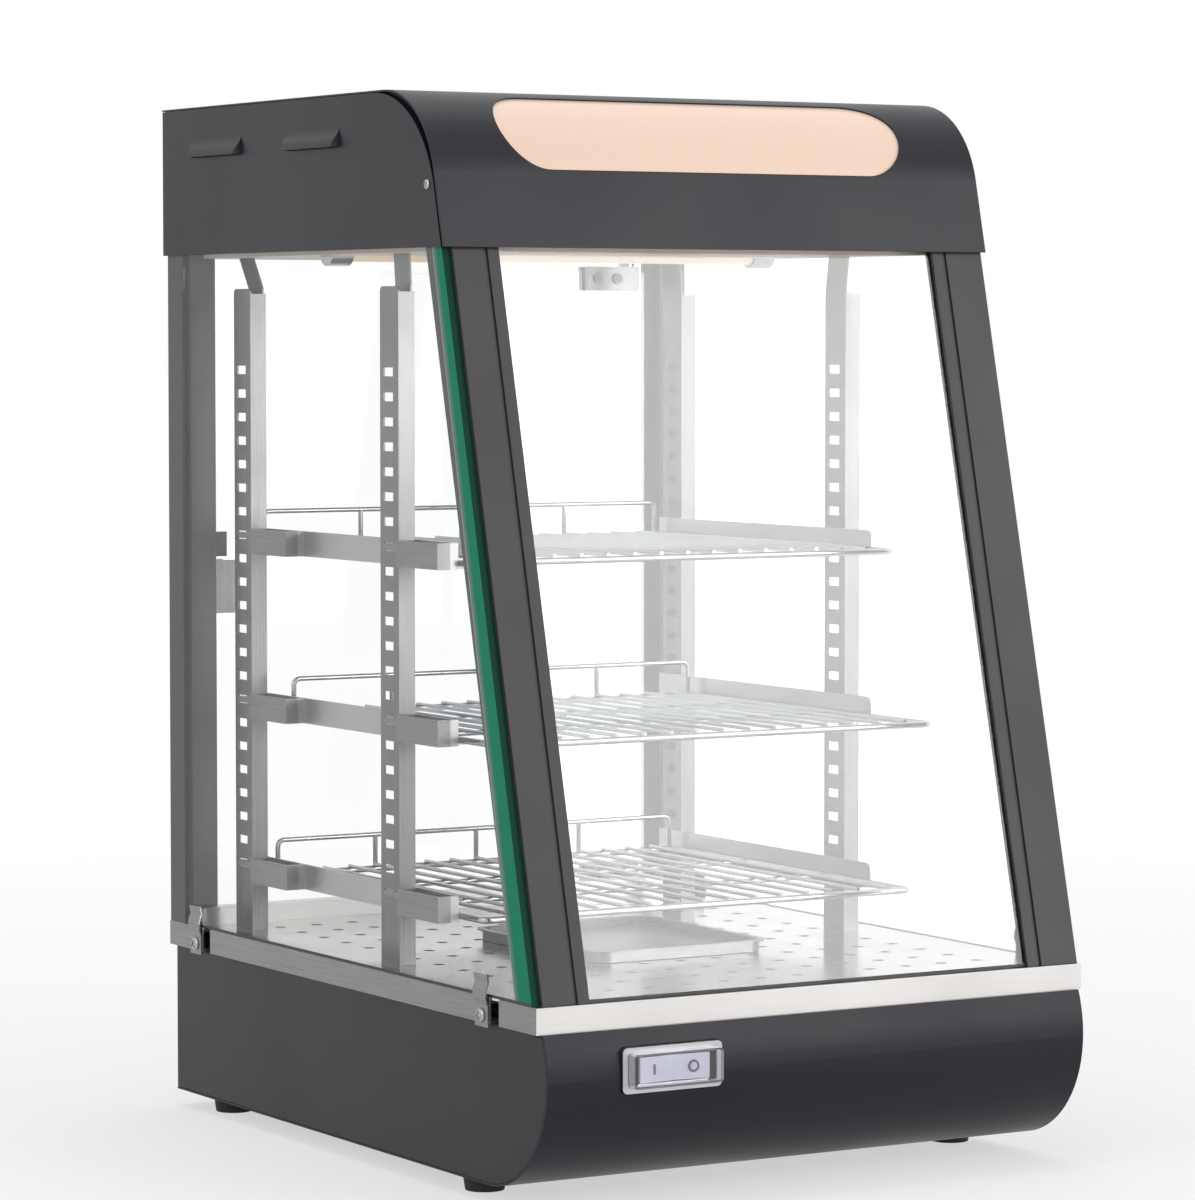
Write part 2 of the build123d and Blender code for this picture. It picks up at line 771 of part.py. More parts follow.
# Shelf rails: angles along the cabinet's depth whose tabs sit in the uprights' slots.
rail_front = {name: upright_front["front"] - reach for name, reach in rail_front_reach.items()}
rail_rear = upright_front["rear"] + rail_rear_reach
left_leg = upright_x["left"] + upright_flange + gap
right_leg = upright_x["right"] - gap - bracket_sheet
hook_plate = upright_x["left"] - gap - bracket_sheet
hole_step = (hole_count - 1) // len(shelf_from_front)
rail_bottom = {
    level: first_hole - hole_step * (index + 1) * hole_pitch - rail_tab_rise
    for index, level in enumerate(shelf_from_front)
}
for level, bottom in rail_bottom.items():
    tab_bottom = bottom + rail_tab_rise - tab_height / 2
    with BuildPart() as rail_left:
        with BuildSketch(facing_front(rail_front["left"])):
            with Locations((left_leg, bottom)):
                Rectangle(bracket_sheet, rail_height, align=corner)
                Rectangle(rail_flange, bracket_sheet, align=corner)
        extrude(amount=rail_front["left"] - rail_rear)
        for upright_y in upright_front.values():
            hook_front = upright_y - hook_reach
            with BuildSketch(Plane.XY.offset(bottom)):
                with Locations((hook_plate, hook_front)):
                    Rectangle(bracket_sheet, hook_reach, align=corner)
                    Rectangle(left_leg + bracket_sheet - hook_plate, bracket_sheet, align=corner)
                with Locations((left_leg, hook_front)):
                    web_start = hook_reach - rail_front_reach["left"] + rail_corner
                    Rectangle(bracket_sheet, web_start, align=corner)
            extrude(amount=rail_height)
            with BuildSketch(Plane.XY.offset(tab_bottom)):
                with Locations((hook_plate, upright_y)):
                    Rectangle(bracket_sheet, hole_setback, align=corner)
                with Locations((hook_plate, upright_y + hole_setback)):
                    Rectangle(tab_length, tab_width, align=(Align.MIN, Align.CENTER))
            extrude(amount=tab_height)
    rail_left.part.label = f"shelf_rail_{level}_left"
    export_step(rail_left.part, f"parts/shelf_rail_{level}_left.step")

    with BuildPart() as rail_right:
        with BuildSketch(facing_right(right_leg)):
            with Locations((rail_front["right"], bottom)):
                Rectangle(rail_rear - rail_front["right"], rail_height, align=corner)
        extrude(amount=bracket_sheet)
        front_edges = rail_right.edges().filter_by(Axis.X).sort_by(Axis.Y)[:2]
        fillet(front_edges.sort_by(Axis.Z)[-1], radius=rail_corner)
        with BuildSketch(Plane.XY.offset(bottom)):
            with Locations((right_leg + bracket_sheet, rail_front["right"])):
                Rectangle(rail_flange, rail_rear - rail_front["right"], align=(Align.MAX, Align.MIN))
        extrude(amount=bracket_sheet)
        for upright_y in upright_front.values():
            with BuildSketch(Plane.XY.offset(tab_bottom)):
                with Locations((right_leg, upright_y + hole_setback)):
                    Rectangle(tab_length, tab_width, align=(Align.MIN, Align.CENTER))
            extrude(amount=tab_height)
    rail_right.part.label = f"shelf_rail_{level}_right"
    export_step(rail_right.part, f"parts/shelf_rail_{level}_right.step")

# Wire shelves: a rod frame with wires along the depth and cross rods, and the rear guard
# that is welded onto the frame's rod.
shelf_depth = case_depth - shelf_clearance
shelf_left = left_leg + bracket_sheet + gap + frame_rod
shelf_right = right_leg - gap - frame_rod
shelf_middle = (shelf_left + shelf_right) / 2
shelf_span = shelf_right - shelf_left
for level, bottom in rail_bottom.items():
    rod_level = bottom + bracket_sheet + gap + frame_rod
    wire_level = rod_level + cross_rod + wire_radius - weld
    guard_level = rod_level + guard_height
    shelf_front = front + shelf_from_front[level] + frame_rod
    shelf_rear = shelf_front + shelf_depth - 2 * frame_rod
    with BuildPart() as shelf_grid:
        with BuildLine() as frame_line:
            FilletPolyline(
                (shelf_left, shelf_front, rod_level),
                (shelf_right, shelf_front, rod_level),
                (shelf_right, shelf_rear, rod_level),
                (shelf_left, shelf_rear, rod_level),
                radius=shelf_corner,
                close=True,
            )
        with BuildSketch(Plane(frame_line.line @ 0, z_dir=frame_line.line % 0)):
            Circle(frame_rod)
        sweep(path=frame_line.wires()[0])
        with BuildSketch(facing_right(shelf_left)):
            with Locations(((shelf_front + shelf_rear) / 2, rod_level)):
                with GridLocations(shelf_depth / (cross_rod_count + 1), 1, cross_rod_count, 1):
                    Circle(cross_rod)
        extrude(amount=shelf_span)
        with BuildSketch(facing_front(shelf_front)):
            with Locations((shelf_middle, wire_level)):
                with GridLocations(shelf_span / (wire_count + 1), 1, wire_count, 1):
                    Circle(wire_radius)
        extrude(amount=shelf_front - shelf_rear)

    with BuildPart() as shelf_guard:
        with BuildLine() as guard_line:
            FilletPolyline(
                (shelf_left + shelf_corner, shelf_rear, rod_level),
                (shelf_left + shelf_corner, shelf_rear, guard_level),
                (shelf_right - shelf_corner, shelf_rear, guard_level),
                (shelf_right - shelf_corner, shelf_rear, rod_level),
                radius=shelf_corner,
            )
        with BuildSketch(Plane(guard_line.line @ 0, z_dir=guard_line.line % 0)):
            Circle(cross_rod)
        sweep(path=guard_line.wires()[0])
        with BuildSketch(Plane.XY.offset(rod_level)):
            with Locations((shelf_middle, shelf_rear)):
                with GridLocations(shelf_span / (guard_posts + 1), 1, guard_posts, 1):
                    Circle(cross_rod)
        extrude(amount=guard_height)
        add(shelf_grid.part, mode=Mode.SUBTRACT)
    wire_shelf = Compound(label=f"wire_shelf_{level}", children=[shelf_grid.part, shelf_guard.part])
    export_step(wire_shelf, f"parts/wire_shelf_{level}.step")

# Water pan: a shallow tray with a flat rim.
pan_y = front + pan_from_front + pan_depth / 2
pan_top = deck_level + gap + pan_height
pan_inset = pan_rim + pan_wall
with BuildPart() as water_pan:
    with BuildSketch(Plane.XY.offset(pan_top)):
        with Locations((pan_x, pan_y)):
            RectangleRounded(pan_width - 2 * pan_rim, pan_depth - 2 * pan_rim, pan_corner - pan_rim)
    extrude(amount=-pan_height)
    with BuildSketch(Plane.XY.offset(pan_top)):
        with Locations((pan_x, pan_y)):
            RectangleRounded(pan_width, pan_depth, pan_corner)
    extrude(amount=-pan_wall)
    with BuildSketch(Plane.XY.offset(pan_top)):
        with Locations((pan_x, pan_y)):
            RectangleRounded(pan_width - 2 * pan_inset, pan_depth - 2 * pan_inset, pan_corner - pan_inset)
    extrude(amount=pan_wall - pan_height, mode=Mode.SUBTRACT)
water_pan.part.label = "water_pan"
export_step(water_pan.part, "parts/water_pan.step")

# Hood shell: one sheet from the leaning front over the curve to the rear.
window_y = curve_y - hood_radius * cos(window_rise)
window_z = curve_z + hood_radius * sin(window_rise)
window_normal = (0, -cos(window_rise), sin(window_rise))
with BuildPart() as hood_shell:
    with BuildSketch(facing_right(-hood_half)):
        with BuildLine():
            outer_arc, outer_line = hood_curve(0, hood_radius, 0, case_top, hood_bottom)
            inner_arc, inner_line = hood_curve(hood_sheet, hood_radius, 0, case_top, hood_bottom)
            Line(outer_line @ 0, inner_line @ 0)
            Polyline(outer_arc @ 0, (hood_rear, case_top), (hood_rear, hood_under), inner_arc @ 0)
        make_face()
    extrude(amount=2 * hood_half)
    with BuildSketch(Plane((0, window_y, window_z), x_dir=(1, 0, 0), z_dir=window_normal)):
        SlotOverall(case_width - 2 * window_inset, window_height)
    extrude(amount=window_depth, both=True, mode=Mode.SUBTRACT)
hood_shell.part.label = "hood_shell"
export_step(hood_shell.part, "parts/hood_shell.step")

# Hood sides: a plate set a little inside the shell, a recessed rim and two louvres.
joggle_level = hood_bottom + joggle_bottom
side_back = hood_rear - hood_sheet - gap
louvre_level = case_top - louvre_drop
hood_screw_y = hood_front + hood_screw_setback
hood_screw_level = hood_bottom + hood_screw_rise


# A louvre's body on a face: it stands out at its lower edge, runs out softly above
# and has round ends.
def louvre_body(side, face, louvre_y, length, rise):
    radius = (rise**2 + louvre_depth**2) / (4 * louvre_depth)
    bend = degrees(asin(rise / (2 * radius)))
    lower_start = 0 if side > 0 else half_turn - bend
    upper_start = half_turn if side > 0 else -bend
    louvre_top = louvre_level + rise
    with BuildPart(mode=Mode.PRIVATE) as body:
        with BuildSketch(facing_front(louvre_y + length / 2)):
            with BuildLine():
                CenterArc((face + side * (louvre_depth - radius), louvre_level), radius, lower_start, bend)
                CenterArc((face + side * radius, louvre_top), radius, upper_start, bend)
                Polyline((face + side * louvre_depth, louvre_level), (face, louvre_level), (face, louvre_top))
            make_face()
        extrude(amount=length)
        with BuildSketch(Plane.XY.offset(louvre_level)):
            with Locations((face, louvre_y)):
                SlotOverall(length, 2 * louvre_depth, rotation=half_turn / 2)
        extrude(amount=rise, mode=Mode.INTERSECT)
    return body.part


for name, side in sides.items():
    plate_face = side * hood_half
    plate_back = plate_face - side * hood_sheet
    with BuildPart() as hood_side:
        with BuildSketch(facing_right(plate_face)):
            with BuildLine():
                arc, line = hood_curve(0, plate_radius, plate_setback, plate_crown, hood_bottom)
                Polyline(arc @ 0, (side_back, plate_crown), (side_back, hood_bottom), line @ 0)
            make_face()
        extrude(amount=-side * hood_sheet)
        with BuildSketch(facing_right(plate_face - side * joggle_depth)):
            with BuildLine():
                arc, line = hood_curve(hood_sheet + gap, hood_radius, 0, case_top, joggle_level)
                Polyline(arc @ 0, (side_back, plate_crown), (side_back, joggle_level), line @ 0)
            make_face()
        extrude(amount=-side * hood_sheet)
        with BuildSketch(facing_right(plate_face)):
            with BuildLine():
                arc, line = hood_curve(0, plate_radius, plate_setback, plate_crown, joggle_level)
                Polyline(arc @ 0, (side_back, plate_crown), (side_back, joggle_level), line @ 0)
            make_face()
        extrude(amount=-side * joggle_depth)
        with BuildSketch(facing_right(plate_back)):
            with BuildLine():
                arc, line = hood_curve(hood_sheet, plate_radius, plate_setback, plate_crown, joggle_level)
                Polyline(
                    arc @ 0,
                    (side_back - hood_sheet, plate_crown - hood_sheet),
                    (side_back - hood_sheet, joggle_level),
                    line @ 0,
                )
            make_face()
        extrude(amount=-side * joggle_depth, mode=Mode.SUBTRACT)
        for distance in louvre_from_rear:
            louvre_y = rear - distance
            hollow_length = louvre_length - 2 * hood_sheet
            hollow_rise = louvre_rise - hood_sheet
            add(louvre_body(side, plate_face, louvre_y, louvre_length, louvre_rise))
            add(louvre_body(side, plate_back, louvre_y, hollow_length, hollow_rise), mode=Mode.SUBTRACT)
        with BuildSketch(facing_right(plate_face)):
            with Locations((hood_screw_y, hood_screw_level)):
                Circle(hood_screw_shank + pin_clearance)
        extrude(amount=-side * hood_sheet, mode=Mode.SUBTRACT)
    hood_side.part.label = f"hood_side_{name}"
    export_step(hood_side.part, f"parts/hood_side_{name}.step")

with BuildPart() as hood_screws:
    for side in (-1, 1):
        with BuildSketch(facing_right(side * hood_half)):
            with Locations((hood_screw_y, hood_screw_level)):
                Circle(hood_screw_radius)
        extrude(amount=side * hood_screw_height)
        with BuildSketch(facing_right(side * hood_half)):
            with Locations((hood_screw_y, hood_screw_level)):
                Circle(hood_screw_shank)
        extrude(amount=-side * hood_screw_length)
hood_screws.part.label = "hood_screws"
export_step(hood_screws.part, "parts/hood_screws.step")

# Hood back: closes the rear behind the side plates.
with BuildPart() as hood_back_panel:
    with BuildSketch(facing_front(hood_rear)):
        with Locations((0, hood_bottom)):
            Rectangle(2 * (hood_half - gap), plate_crown - hood_bottom, align=(Align.CENTER, Align.MIN))
    extrude(amount=hood_sheet)
hood_back_panel.part.label = "hood_back_panel"
export_step(hood_back_panel.part, "parts/hood_back_panel.step")

# Sign panel: a curved sheet behind the window, left blank.
sign_half_width = half_width - sign_inset
sign_radius = hood_radius - hood_sheet - gap
sign_from = half_turn - sign_start - sign_sweep
with BuildPart() as sign_panel:
    with BuildSketch(facing_right(-sign_half_width)):
        with BuildLine():
            sign_outer = CenterArc((curve_y, curve_z), sign_radius, sign_from, sign_sweep)
            sign_inner = CenterArc((curve_y, curve_z), sign_radius - sign_thickness, sign_from, sign_sweep)
            Line(sign_outer @ 0, sign_inner @ 0)
            Line(sign_outer @ 1, sign_inner @ 1)
        make_face()
    extrude(amount=2 * sign_half_width)
sign_panel.part.label = "sign_panel"
export_step(sign_panel.part, "parts/sign_panel.step")

# Ceiling: a shallow tray under the hood with a slot for the lamp tube.
ceiling_half = half_width - ceiling_inset
ceiling_front = hood_front + ceiling_setback
ceiling_depth = rear - ceiling_to_rear - ceiling_front
ceiling_y = ceiling_front + ceiling_depth / 2
lamp_y = front + lamp_from_front
lamp_level = hood_bottom + lamp_rise
lamp_half_length = ceiling_half - lamp_inset
slot_half = lamp_half_length + holder_length + gap
with BuildPart() as ceiling_plate:
    with BuildSketch(Plane.XY.offset(ceiling_under)):
        with Locations((0, ceiling_y)):
            Rectangle(2 * ceiling_half, ceiling_depth)
    extrude(amount=ceiling_rim)
    with BuildSketch(Plane.XY.offset(ceiling_under + bracket_sheet)):
        with Locations((0, ceiling_y)):
            Rectangle(2 * (ceiling_half - bracket_sheet), ceiling_depth - 2 * bracket_sheet)
    extrude(amount=ceiling_rim, mode=Mode.SUBTRACT)
    with BuildSketch(Plane.XY.offset(ceiling_under)):
        with Locations((0, lamp_y)):
            Rectangle(2 * slot_half, 2 * (holder_radius + gap))
        for side in (-1, 1):
            with Locations((side * (post_inner - gap), post_rear)):
                Rectangle(
                    rear_post_inset,
                    rear_post_depth + gap,
                    align=(outwards(side), Align.MAX),
                )
    extrude(amount=ceiling_rim, mode=Mode.SUBTRACT)
ceiling_plate.part.label = "ceiling_plate"
export_step(ceiling_plate.part, "parts/ceiling_plate.step")

# Lamp tube across the cabinet, and the lamp behind the sign.
with BuildPart() as lamp_tube:
    with BuildSketch(facing_right(-lamp_half_length)):
        with Locations((lamp_y, lamp_level)):
            Circle(lamp_radius)
    extrude(amount=2 * lamp_half_length)
lamp_tube.part.label = "lamp_tube"
export_step(lamp_tube.part, "parts/lamp_tube.step")

sign_lamp_y = curve_y + sign_lamp_setback
sign_lamp_level = curve_z + sign_lamp_rise
sign_lamp_half_length = sign_half_width - sign_lamp_inset
with BuildPart() as sign_lamp:
    with BuildSketch(facing_right(-sign_lamp_half_length)):
        with Locations((sign_lamp_y, sign_lamp_level)):
            Circle(lamp_radius)
    extrude(amount=2 * sign_lamp_half_length)
sign_lamp.part.label = "sign_lamp"
export_step(sign_lamp.part, "parts/sign_lamp.step")

# Lamp holders: cups on tabs for the cabinet's tube, hanging brackets for the sign's.
bracket_drop = hood_under - sign_lamp_level + holder_radius
with BuildPart() as lamp_holders:
    for side in (-1, 1):
        with BuildSketch(facing_right(side * (lamp_half_length - lamp_seat))):
            with Locations((lamp_y, lamp_level)):
                Circle(holder_radius)
        extrude(amount=side * (lamp_seat + holder_length))
        with BuildSketch(Plane.XY.offset(ceiling_under + bracket_sheet)):
            with Locations((side * lamp_half_length, lamp_y)):
                Rectangle(holder_length, holder_tab_width, align=(outwards(side), Align.CENTER))
        extrude(amount=holder_tab_sheet)
        with BuildSketch(facing_right(side * (lamp_half_length - lamp_seat))):
            with Locations((lamp_y, lamp_level)):
                Circle(lamp_radius + pin_clearance)
        extrude(amount=side * lamp_seat, mode=Mode.SUBTRACT)
        with BuildSketch(facing_right(side * (sign_lamp_half_length - lamp_seat))):
            with Locations((sign_lamp_y, hood_under)):
                Rectangle(sign_bracket_width, bracket_drop, align=(Align.CENTER, Align.MAX))
        extrude(amount=side * (lamp_seat + bracket_sheet))
        with BuildSketch(Plane.XY.offset(hood_under)):
            with Locations((side * sign_lamp_half_length, sign_lamp_y)):
                Rectangle(sign_bracket_foot, sign_bracket_width, align=(outwards(side), Align.CENTER))
        extrude(amount=-bracket_sheet)
        with BuildSketch(facing_right(side * (sign_lamp_half_length - lamp_seat))):
            with Locations((sign_lamp_y, sign_lamp_level)):
                Circle(lamp_radius + pin_clearance)
        extrude(amount=side * lamp_seat, mode=Mode.SUBTRACT)
lamp_holders.part.label = "lamp_holders"
export_step(lamp_holders.part, "parts/lamp_holders.step")

# Rear door: a pane with notches for the hinge clamps.
door_half = post_inner - door_side_gap
door_inner = rear - door_from_rear
door_outer = door_inner + glass_thickness
door_y = door_inner + glass_thickness / 2
door_bottom = deck_level + door_rise
door_top = hood_bottom - door_drop
hinge_x = door_half - hinge_inset
clamp_screw_x = [hinge_x - distance for distance in clamp_screw_inset]
clamp_bottom = deck_level + pivot_foot_height + gap
clamp_top = ceiling_under - pivot_cap_height - gap
clamp_levels = (clamp_bottom + clamp_height / 2, clamp_top - clamp_height / 2)
handle_x = handle_width / 2 - door_half
handle_level = deck_level + handle_rise
handle_middle = handle_level + handle_height / 2
with BuildPart() as door_glass:
    with BuildSketch(facing_front(door_outer)):
        with Locations((0, (door_bottom + door_top) / 2)):
            Rectangle(2 * door_half, door_top - door_bottom)
        with Locations((hinge_x, clamp_bottom + clamp_core_height + gap)):
            Rectangle(
                2 * (clamp_core + gap),
                clamp_height,
                align=(Align.CENTER, Align.MAX),
                mode=Mode.SUBTRACT,
            )
        with Locations((hinge_x, clamp_top - clamp_core_height - gap)):
            Rectangle(
                2 * (clamp_core + gap),
                clamp_height,
                align=(Align.CENTER, Align.MIN),
                mode=Mode.SUBTRACT,
            )
        for x in clamp_screw_x:
            for z in clamp_levels:
                with Locations((x, z)):
                    Circle(clamp_screw_shank + gap, mode=Mode.SUBTRACT)
        with Locations((handle_x, handle_middle)):
            Circle(handle_pin + gap, mode=Mode.SUBTRACT)
    extrude(amount=glass_thickness)
door_glass.part.label = "door_glass"
export_step(door_glass.part, "parts/door_glass.step")

# Hinge clamps: two cheeks on the pane round a core with the pivot's bore.
with BuildPart() as door_hinge_plates:
    for z in clamp_levels:
        for face in (door_inner, door_outer + clamp_cheek):
            with BuildSketch(facing_front(face)):
                with Locations((hinge_x + clamp_core, z)):
                    Rectangle(clamp_reach + clamp_core, clamp_height, align=(Align.MAX, Align.CENTER))
                for x in clamp_screw_x:
                    with Locations((x, z)):
                        Circle(clamp_screw_shank + pin_clearance, mode=Mode.SUBTRACT)
            extrude(amount=clamp_cheek)
    with BuildSketch(facing_front(door_outer)):
        with Locations((hinge_x, clamp_bottom)):
            Rectangle(2 * clamp_core, clamp_core_height, align=(Align.CENTER, Align.MIN))
        with Locations((hinge_x, clamp_top)):
            Rectangle(2 * clamp_core, clamp_core_height, align=(Align.CENTER, Align.MAX))
    extrude(amount=glass_thickness)
    with BuildSketch(Plane.XY.offset(clamp_bottom)):
        with Locations((hinge_x, door_y)):
            Circle(pivot_radius + pin_clearance)
    extrude(amount=pivot_bore_reach, mode=Mode.SUBTRACT)
    with BuildSketch(Plane.XY.offset(clamp_top)):
        with Locations((hinge_x, door_y)):
            Circle(pivot_radius + pin_clearance)
    extrude(amount=-pivot_bore_reach, mode=Mode.SUBTRACT)
door_hinge_plates.part.label = "door_hinge_plates"
export_step(door_hinge_plates.part, "parts/door_hinge_plates.step")

with BuildPart() as door_hinge_screws:
    for z in clamp_levels:
        for x in clamp_screw_x:
            with BuildSketch(facing_front(door_inner - clamp_cheek)):
                with Locations((x, z)):
                    Circle(clamp_screw_radius)
            extrude(amount=clamp_screw_height)
            with BuildSketch(facing_front(door_inner - clamp_cheek)):
                with Locations((x, z)):
                    Circle(clamp_screw_shank)
            extrude(amount=-(glass_thickness + 2 * clamp_cheek))
door_hinge_screws.part.label = "door_hinge_screws"
export_step(door_hinge_screws.part, "parts/door_hinge_screws.step")

# Pivots: one pin stands on the deck, the other hangs from the ceiling.
with BuildPart() as door_pivots:
    with BuildSketch(Plane.XY.offset(deck_level)):
        with Locations((hinge_x, door_y)):
            Circle(pivot_foot_radius)
    extrude(amount=pivot_foot_height)
    with BuildSketch(Plane.XY.offset(deck_level)):
        with Locations((hinge_x, door_y)):
            Circle(pivot_radius)
    extrude(amount=pivot_foot_height + gap + pivot_reach)
    with BuildSketch(Plane.XY.offset(ceiling_under)):
        with Locations((hinge_x, rear - ceiling_to_rear - pivot_foot_radius)):
            Circle(pivot_foot_radius)
    extrude(amount=-pivot_cap_height)
    with BuildSketch(Plane.XY.offset(ceiling_under)):
        with Locations((hinge_x, door_y)):
            Circle(pivot_radius)
    extrude(amount=-(pivot_cap_height + gap + pivot_reach))
door_pivots.part.label = "door_pivots"
export_step(door_pivots.part, "parts/door_pivots.step")

# Door pull: a plate on each face of the pane and a grip outside.
grip_outer = rear + rear_reach
with BuildPart() as door_handle:
    for face in (door_inner, door_outer + handle_plate, grip_outer):
        with BuildSketch(facing_front(face)):
            with Locations((handle_x, handle_middle)):
                Rectangle(handle_width, handle_height)
        extrude(amount=handle_plate)
    with BuildSketch(facing_front(grip_outer)):
        with Locations((-door_half, handle_middle)):
            Rectangle(handle_web, handle_height, align=(Align.MIN, Align.CENTER))
    extrude(amount=grip_outer - door_outer)
    with BuildSketch(facing_front(door_outer)):
        with Locations((handle_x, handle_middle)):
            Circle(handle_pin)
    extrude(amount=glass_thickness)
door_handle.part.label = "door_handle"
export_step(door_handle.part, "parts/door_handle.step")

# Door keeper: a block on the rear post that the closed pane rests against.
with BuildPart() as door_catch:
    with BuildSketch(facing_front(door_inner - gap)):
        with Locations((-post_inner, handle_level + handle_height + catch_rise)):
            Rectangle(catch_width, catch_height, align=corner)
    extrude(amount=catch_thickness)
door_catch.part.label = "door_catch"
export_step(door_catch.part, "parts/door_catch.step")

# Switch frame: stands a little out of the base and holds the rocker's pins.
bezel_face = base_front - switch_proud
frame_back = base_front + switch_flange_back
rocker_y = base_front + rocker_thickness / 2
with BuildPart() as switch_frame:
    with BuildSketch(facing_front(bezel_face)):
        with Locations((switch_x, switch_level)):
            RectangleRounded(switch_width, switch_height, switch_corner)
    extrude(amount=bezel_face - frame_back)
    with BuildSketch(facing_front(frame_back)):
        with Locations((switch_x, switch_level)):
            Rectangle(switch_width + 2 * switch_flange, switch_height + 2 * switch_flange)
    extrude(amount=-switch_flange_sheet)
    with BuildSketch(facing_front(frame_back)):
        with Locations((switch_x, switch_level)):
            Rectangle(cover_width, cover_height)
    extrude(amount=-switch_body_depth)
    with BuildSketch(facing_front(bezel_face)):
        with Locations((switch_x, switch_level)):
            Rectangle(switch_opening_width, switch_opening_height)
    extrude(amount=bezel_face - frame_back - rocker_thickness, mode=Mode.SUBTRACT)
    with BuildSketch(Plane.XY.offset(switch_level)):
        with Locations((switch_x, rocker_y)):
            Circle(rocker_pin + pin_clearance)
    extrude(amount=switch_opening_height / 2 + rocker_pin_reach, both=True, mode=Mode.SUBTRACT)
switch_frame.part.label = "switch_frame"
export_step(switch_frame.part, "parts/switch_frame.step")

# Rocker: a shallow V across its pins, with ends that press in.
with BuildPart() as switch_rocker:
    with BuildSketch(Plane.XY.offset(switch_level)):
        with BuildLine():
            Polyline(
                (switch_x - rocker_half, bezel_face - rocker_rise),
                (switch_x, bezel_face),
                (switch_x + rocker_half, bezel_face - rocker_rise),
                (switch_x + rocker_half, bezel_face - rocker_rise + rocker_edge),
                (switch_x, rocker_y + rocker_thickness / 2),
                (switch_x - rocker_half, bezel_face - rocker_rise + rocker_edge),
                close=True,
            )
        make_face()
    extrude(amount=rocker_height / 2, both=True)
    with BuildSketch(Plane.XY.offset(switch_level)):
        with Locations((switch_x, rocker_y)):
            Circle(rocker_pin)
    extrude(amount=rocker_height / 2 + rocker_pin_reach, both=True)
switch_rocker.part.label = "switch_rocker"
export_step(switch_rocker.part, "parts/switch_rocker.step")

# Switch cover: a clear hollow cap on the frame.
cover_face = base_front - cover_depth
with BuildPart() as switch_cover:
    with BuildSketch(facing_front(cover_face)):
        with Locations((switch_x, switch_level)):
            RectangleRounded(cover_width, cover_height, cover_corner)
    extrude(amount=cover_face - bezel_face)
    with BuildSketch(facing_front(cover_face + cover_wall)):
        with Locations((switch_x, switch_level)):
            RectangleRounded(
                cover_width - 2 * cover_wall, cover_height - 2 * cover_wall, cover_corner - cover_wall
            )
    extrude(amount=cover_face - bezel_face, mode=Mode.SUBTRACT)
switch_cover.part.label = "switch_cover"
export_step(switch_cover.part, "parts/switch_cover.step")

# Heat shield: an inverted channel that stands on the base's floor.
shield_half = half_width - shield_inset
shield_level = band_bottom - shield_drop
with BuildPart() as heat_shield:
    with BuildSketch(facing_front(front + shield_from_front)):
        with Locations((0, floor_top)):
            Rectangle(2 * shield_half, shield_level - floor_top, align=(Align.CENTER, Align.MIN))
            Rectangle(
                2 * (shield_half - bracket_sheet),
                shield_level - floor_top - bracket_sheet,
                align=(Align.CENTER, Align.MIN),
                mode=Mode.SUBTRACT,
            )
    extrude(amount=shield_from_front + shield_from_rear - case_depth)
heat_shield.part.label = "heat_shield"
export_step(heat_shield.part, "parts/heat_shield.step")

# Element brackets: two low bridges that carry the heating element.
bracket_half = shield_half - bracket_inset
with BuildPart() as element_brackets:
    for y in (front + bracket_from_end, rear - bracket_from_end):
        with BuildSketch(facing_front(y)):
            with Locations((0, shield_level)):
                Rectangle(2 * bracket_half, bracket_height, align=(Align.CENTER, Align.MIN))
                Rectangle(
                    2 * (bracket_half - bracket_sheet),
                    bracket_height - bracket_sheet,
                    align=(Align.CENTER, Align.MIN),
                    mode=Mode.SUBTRACT,
                )
        extrude(amount=bracket_width / 2, both=True)
element_brackets.part.label = "element_brackets"
export_step(element_brackets.part, "parts/element_brackets.step")

# Heating element: one tube bent into four passes, both ends in the terminal block.
element_level = shield_level + bracket_height + element_radius
element_outer = bracket_half - element_inset
element_front = front + element_from_front
element_return = rear - element_return_from_rear
element_rear = rear - element_from_rear
with BuildPart() as heating_element:
    with BuildLine() as element_line:
        FilletPolyline(
            (terminal_width / 2, element_rear, element_level),
            (element_outer, element_rear, element_level),
            (element_outer, element_front, element_level),
            (element_inner, element_front, element_level),
            (element_inner, element_return, element_level),
            (-element_inner, element_return, element_level),
            (-element_inner, element_front, element_level),
            (-element_outer, element_front, element_level),
            (-element_outer, element_rear, element_level),
            (-terminal_width / 2, element_rear, element_level),
            radius=element_bend,
        )
    with BuildSketch(Plane(element_line.line @ 0, z_dir=element_line.line % 0)):
        Circle(element_radius)
    sweep(path=element_line.wires()[0])
heating_element.part.label = "heating_element"
export_step(heating_element.part, "parts/heating_element.step")

with BuildPart() as terminal_block:
    with BuildSketch(Plane.XY.offset(shield_level)):
        with Locations((0, element_rear)):
            Rectangle(terminal_width, terminal_depth)
    extrude(amount=terminal_height)
terminal_block.part.label = "terminal_block"
export_step(terminal_block.part, "parts/terminal_block.step")

# Thermostat: a round button under the deck, behind the perforated field.
with BuildPart() as thermostat:
    with BuildSketch(Plane.XY.offset(deck_under)):
        with Locations((0, rear - thermostat_from_rear)):
            Circle(thermostat_radius)
    extrude(amount=-thermostat_height)
thermostat.part.label = "thermostat"
export_step(thermostat.part, "parts/thermostat.step")
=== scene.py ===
import bmesh
import bpy
from math import cos, pi, radians, sin, tan
from mathutils import Matrix, Vector


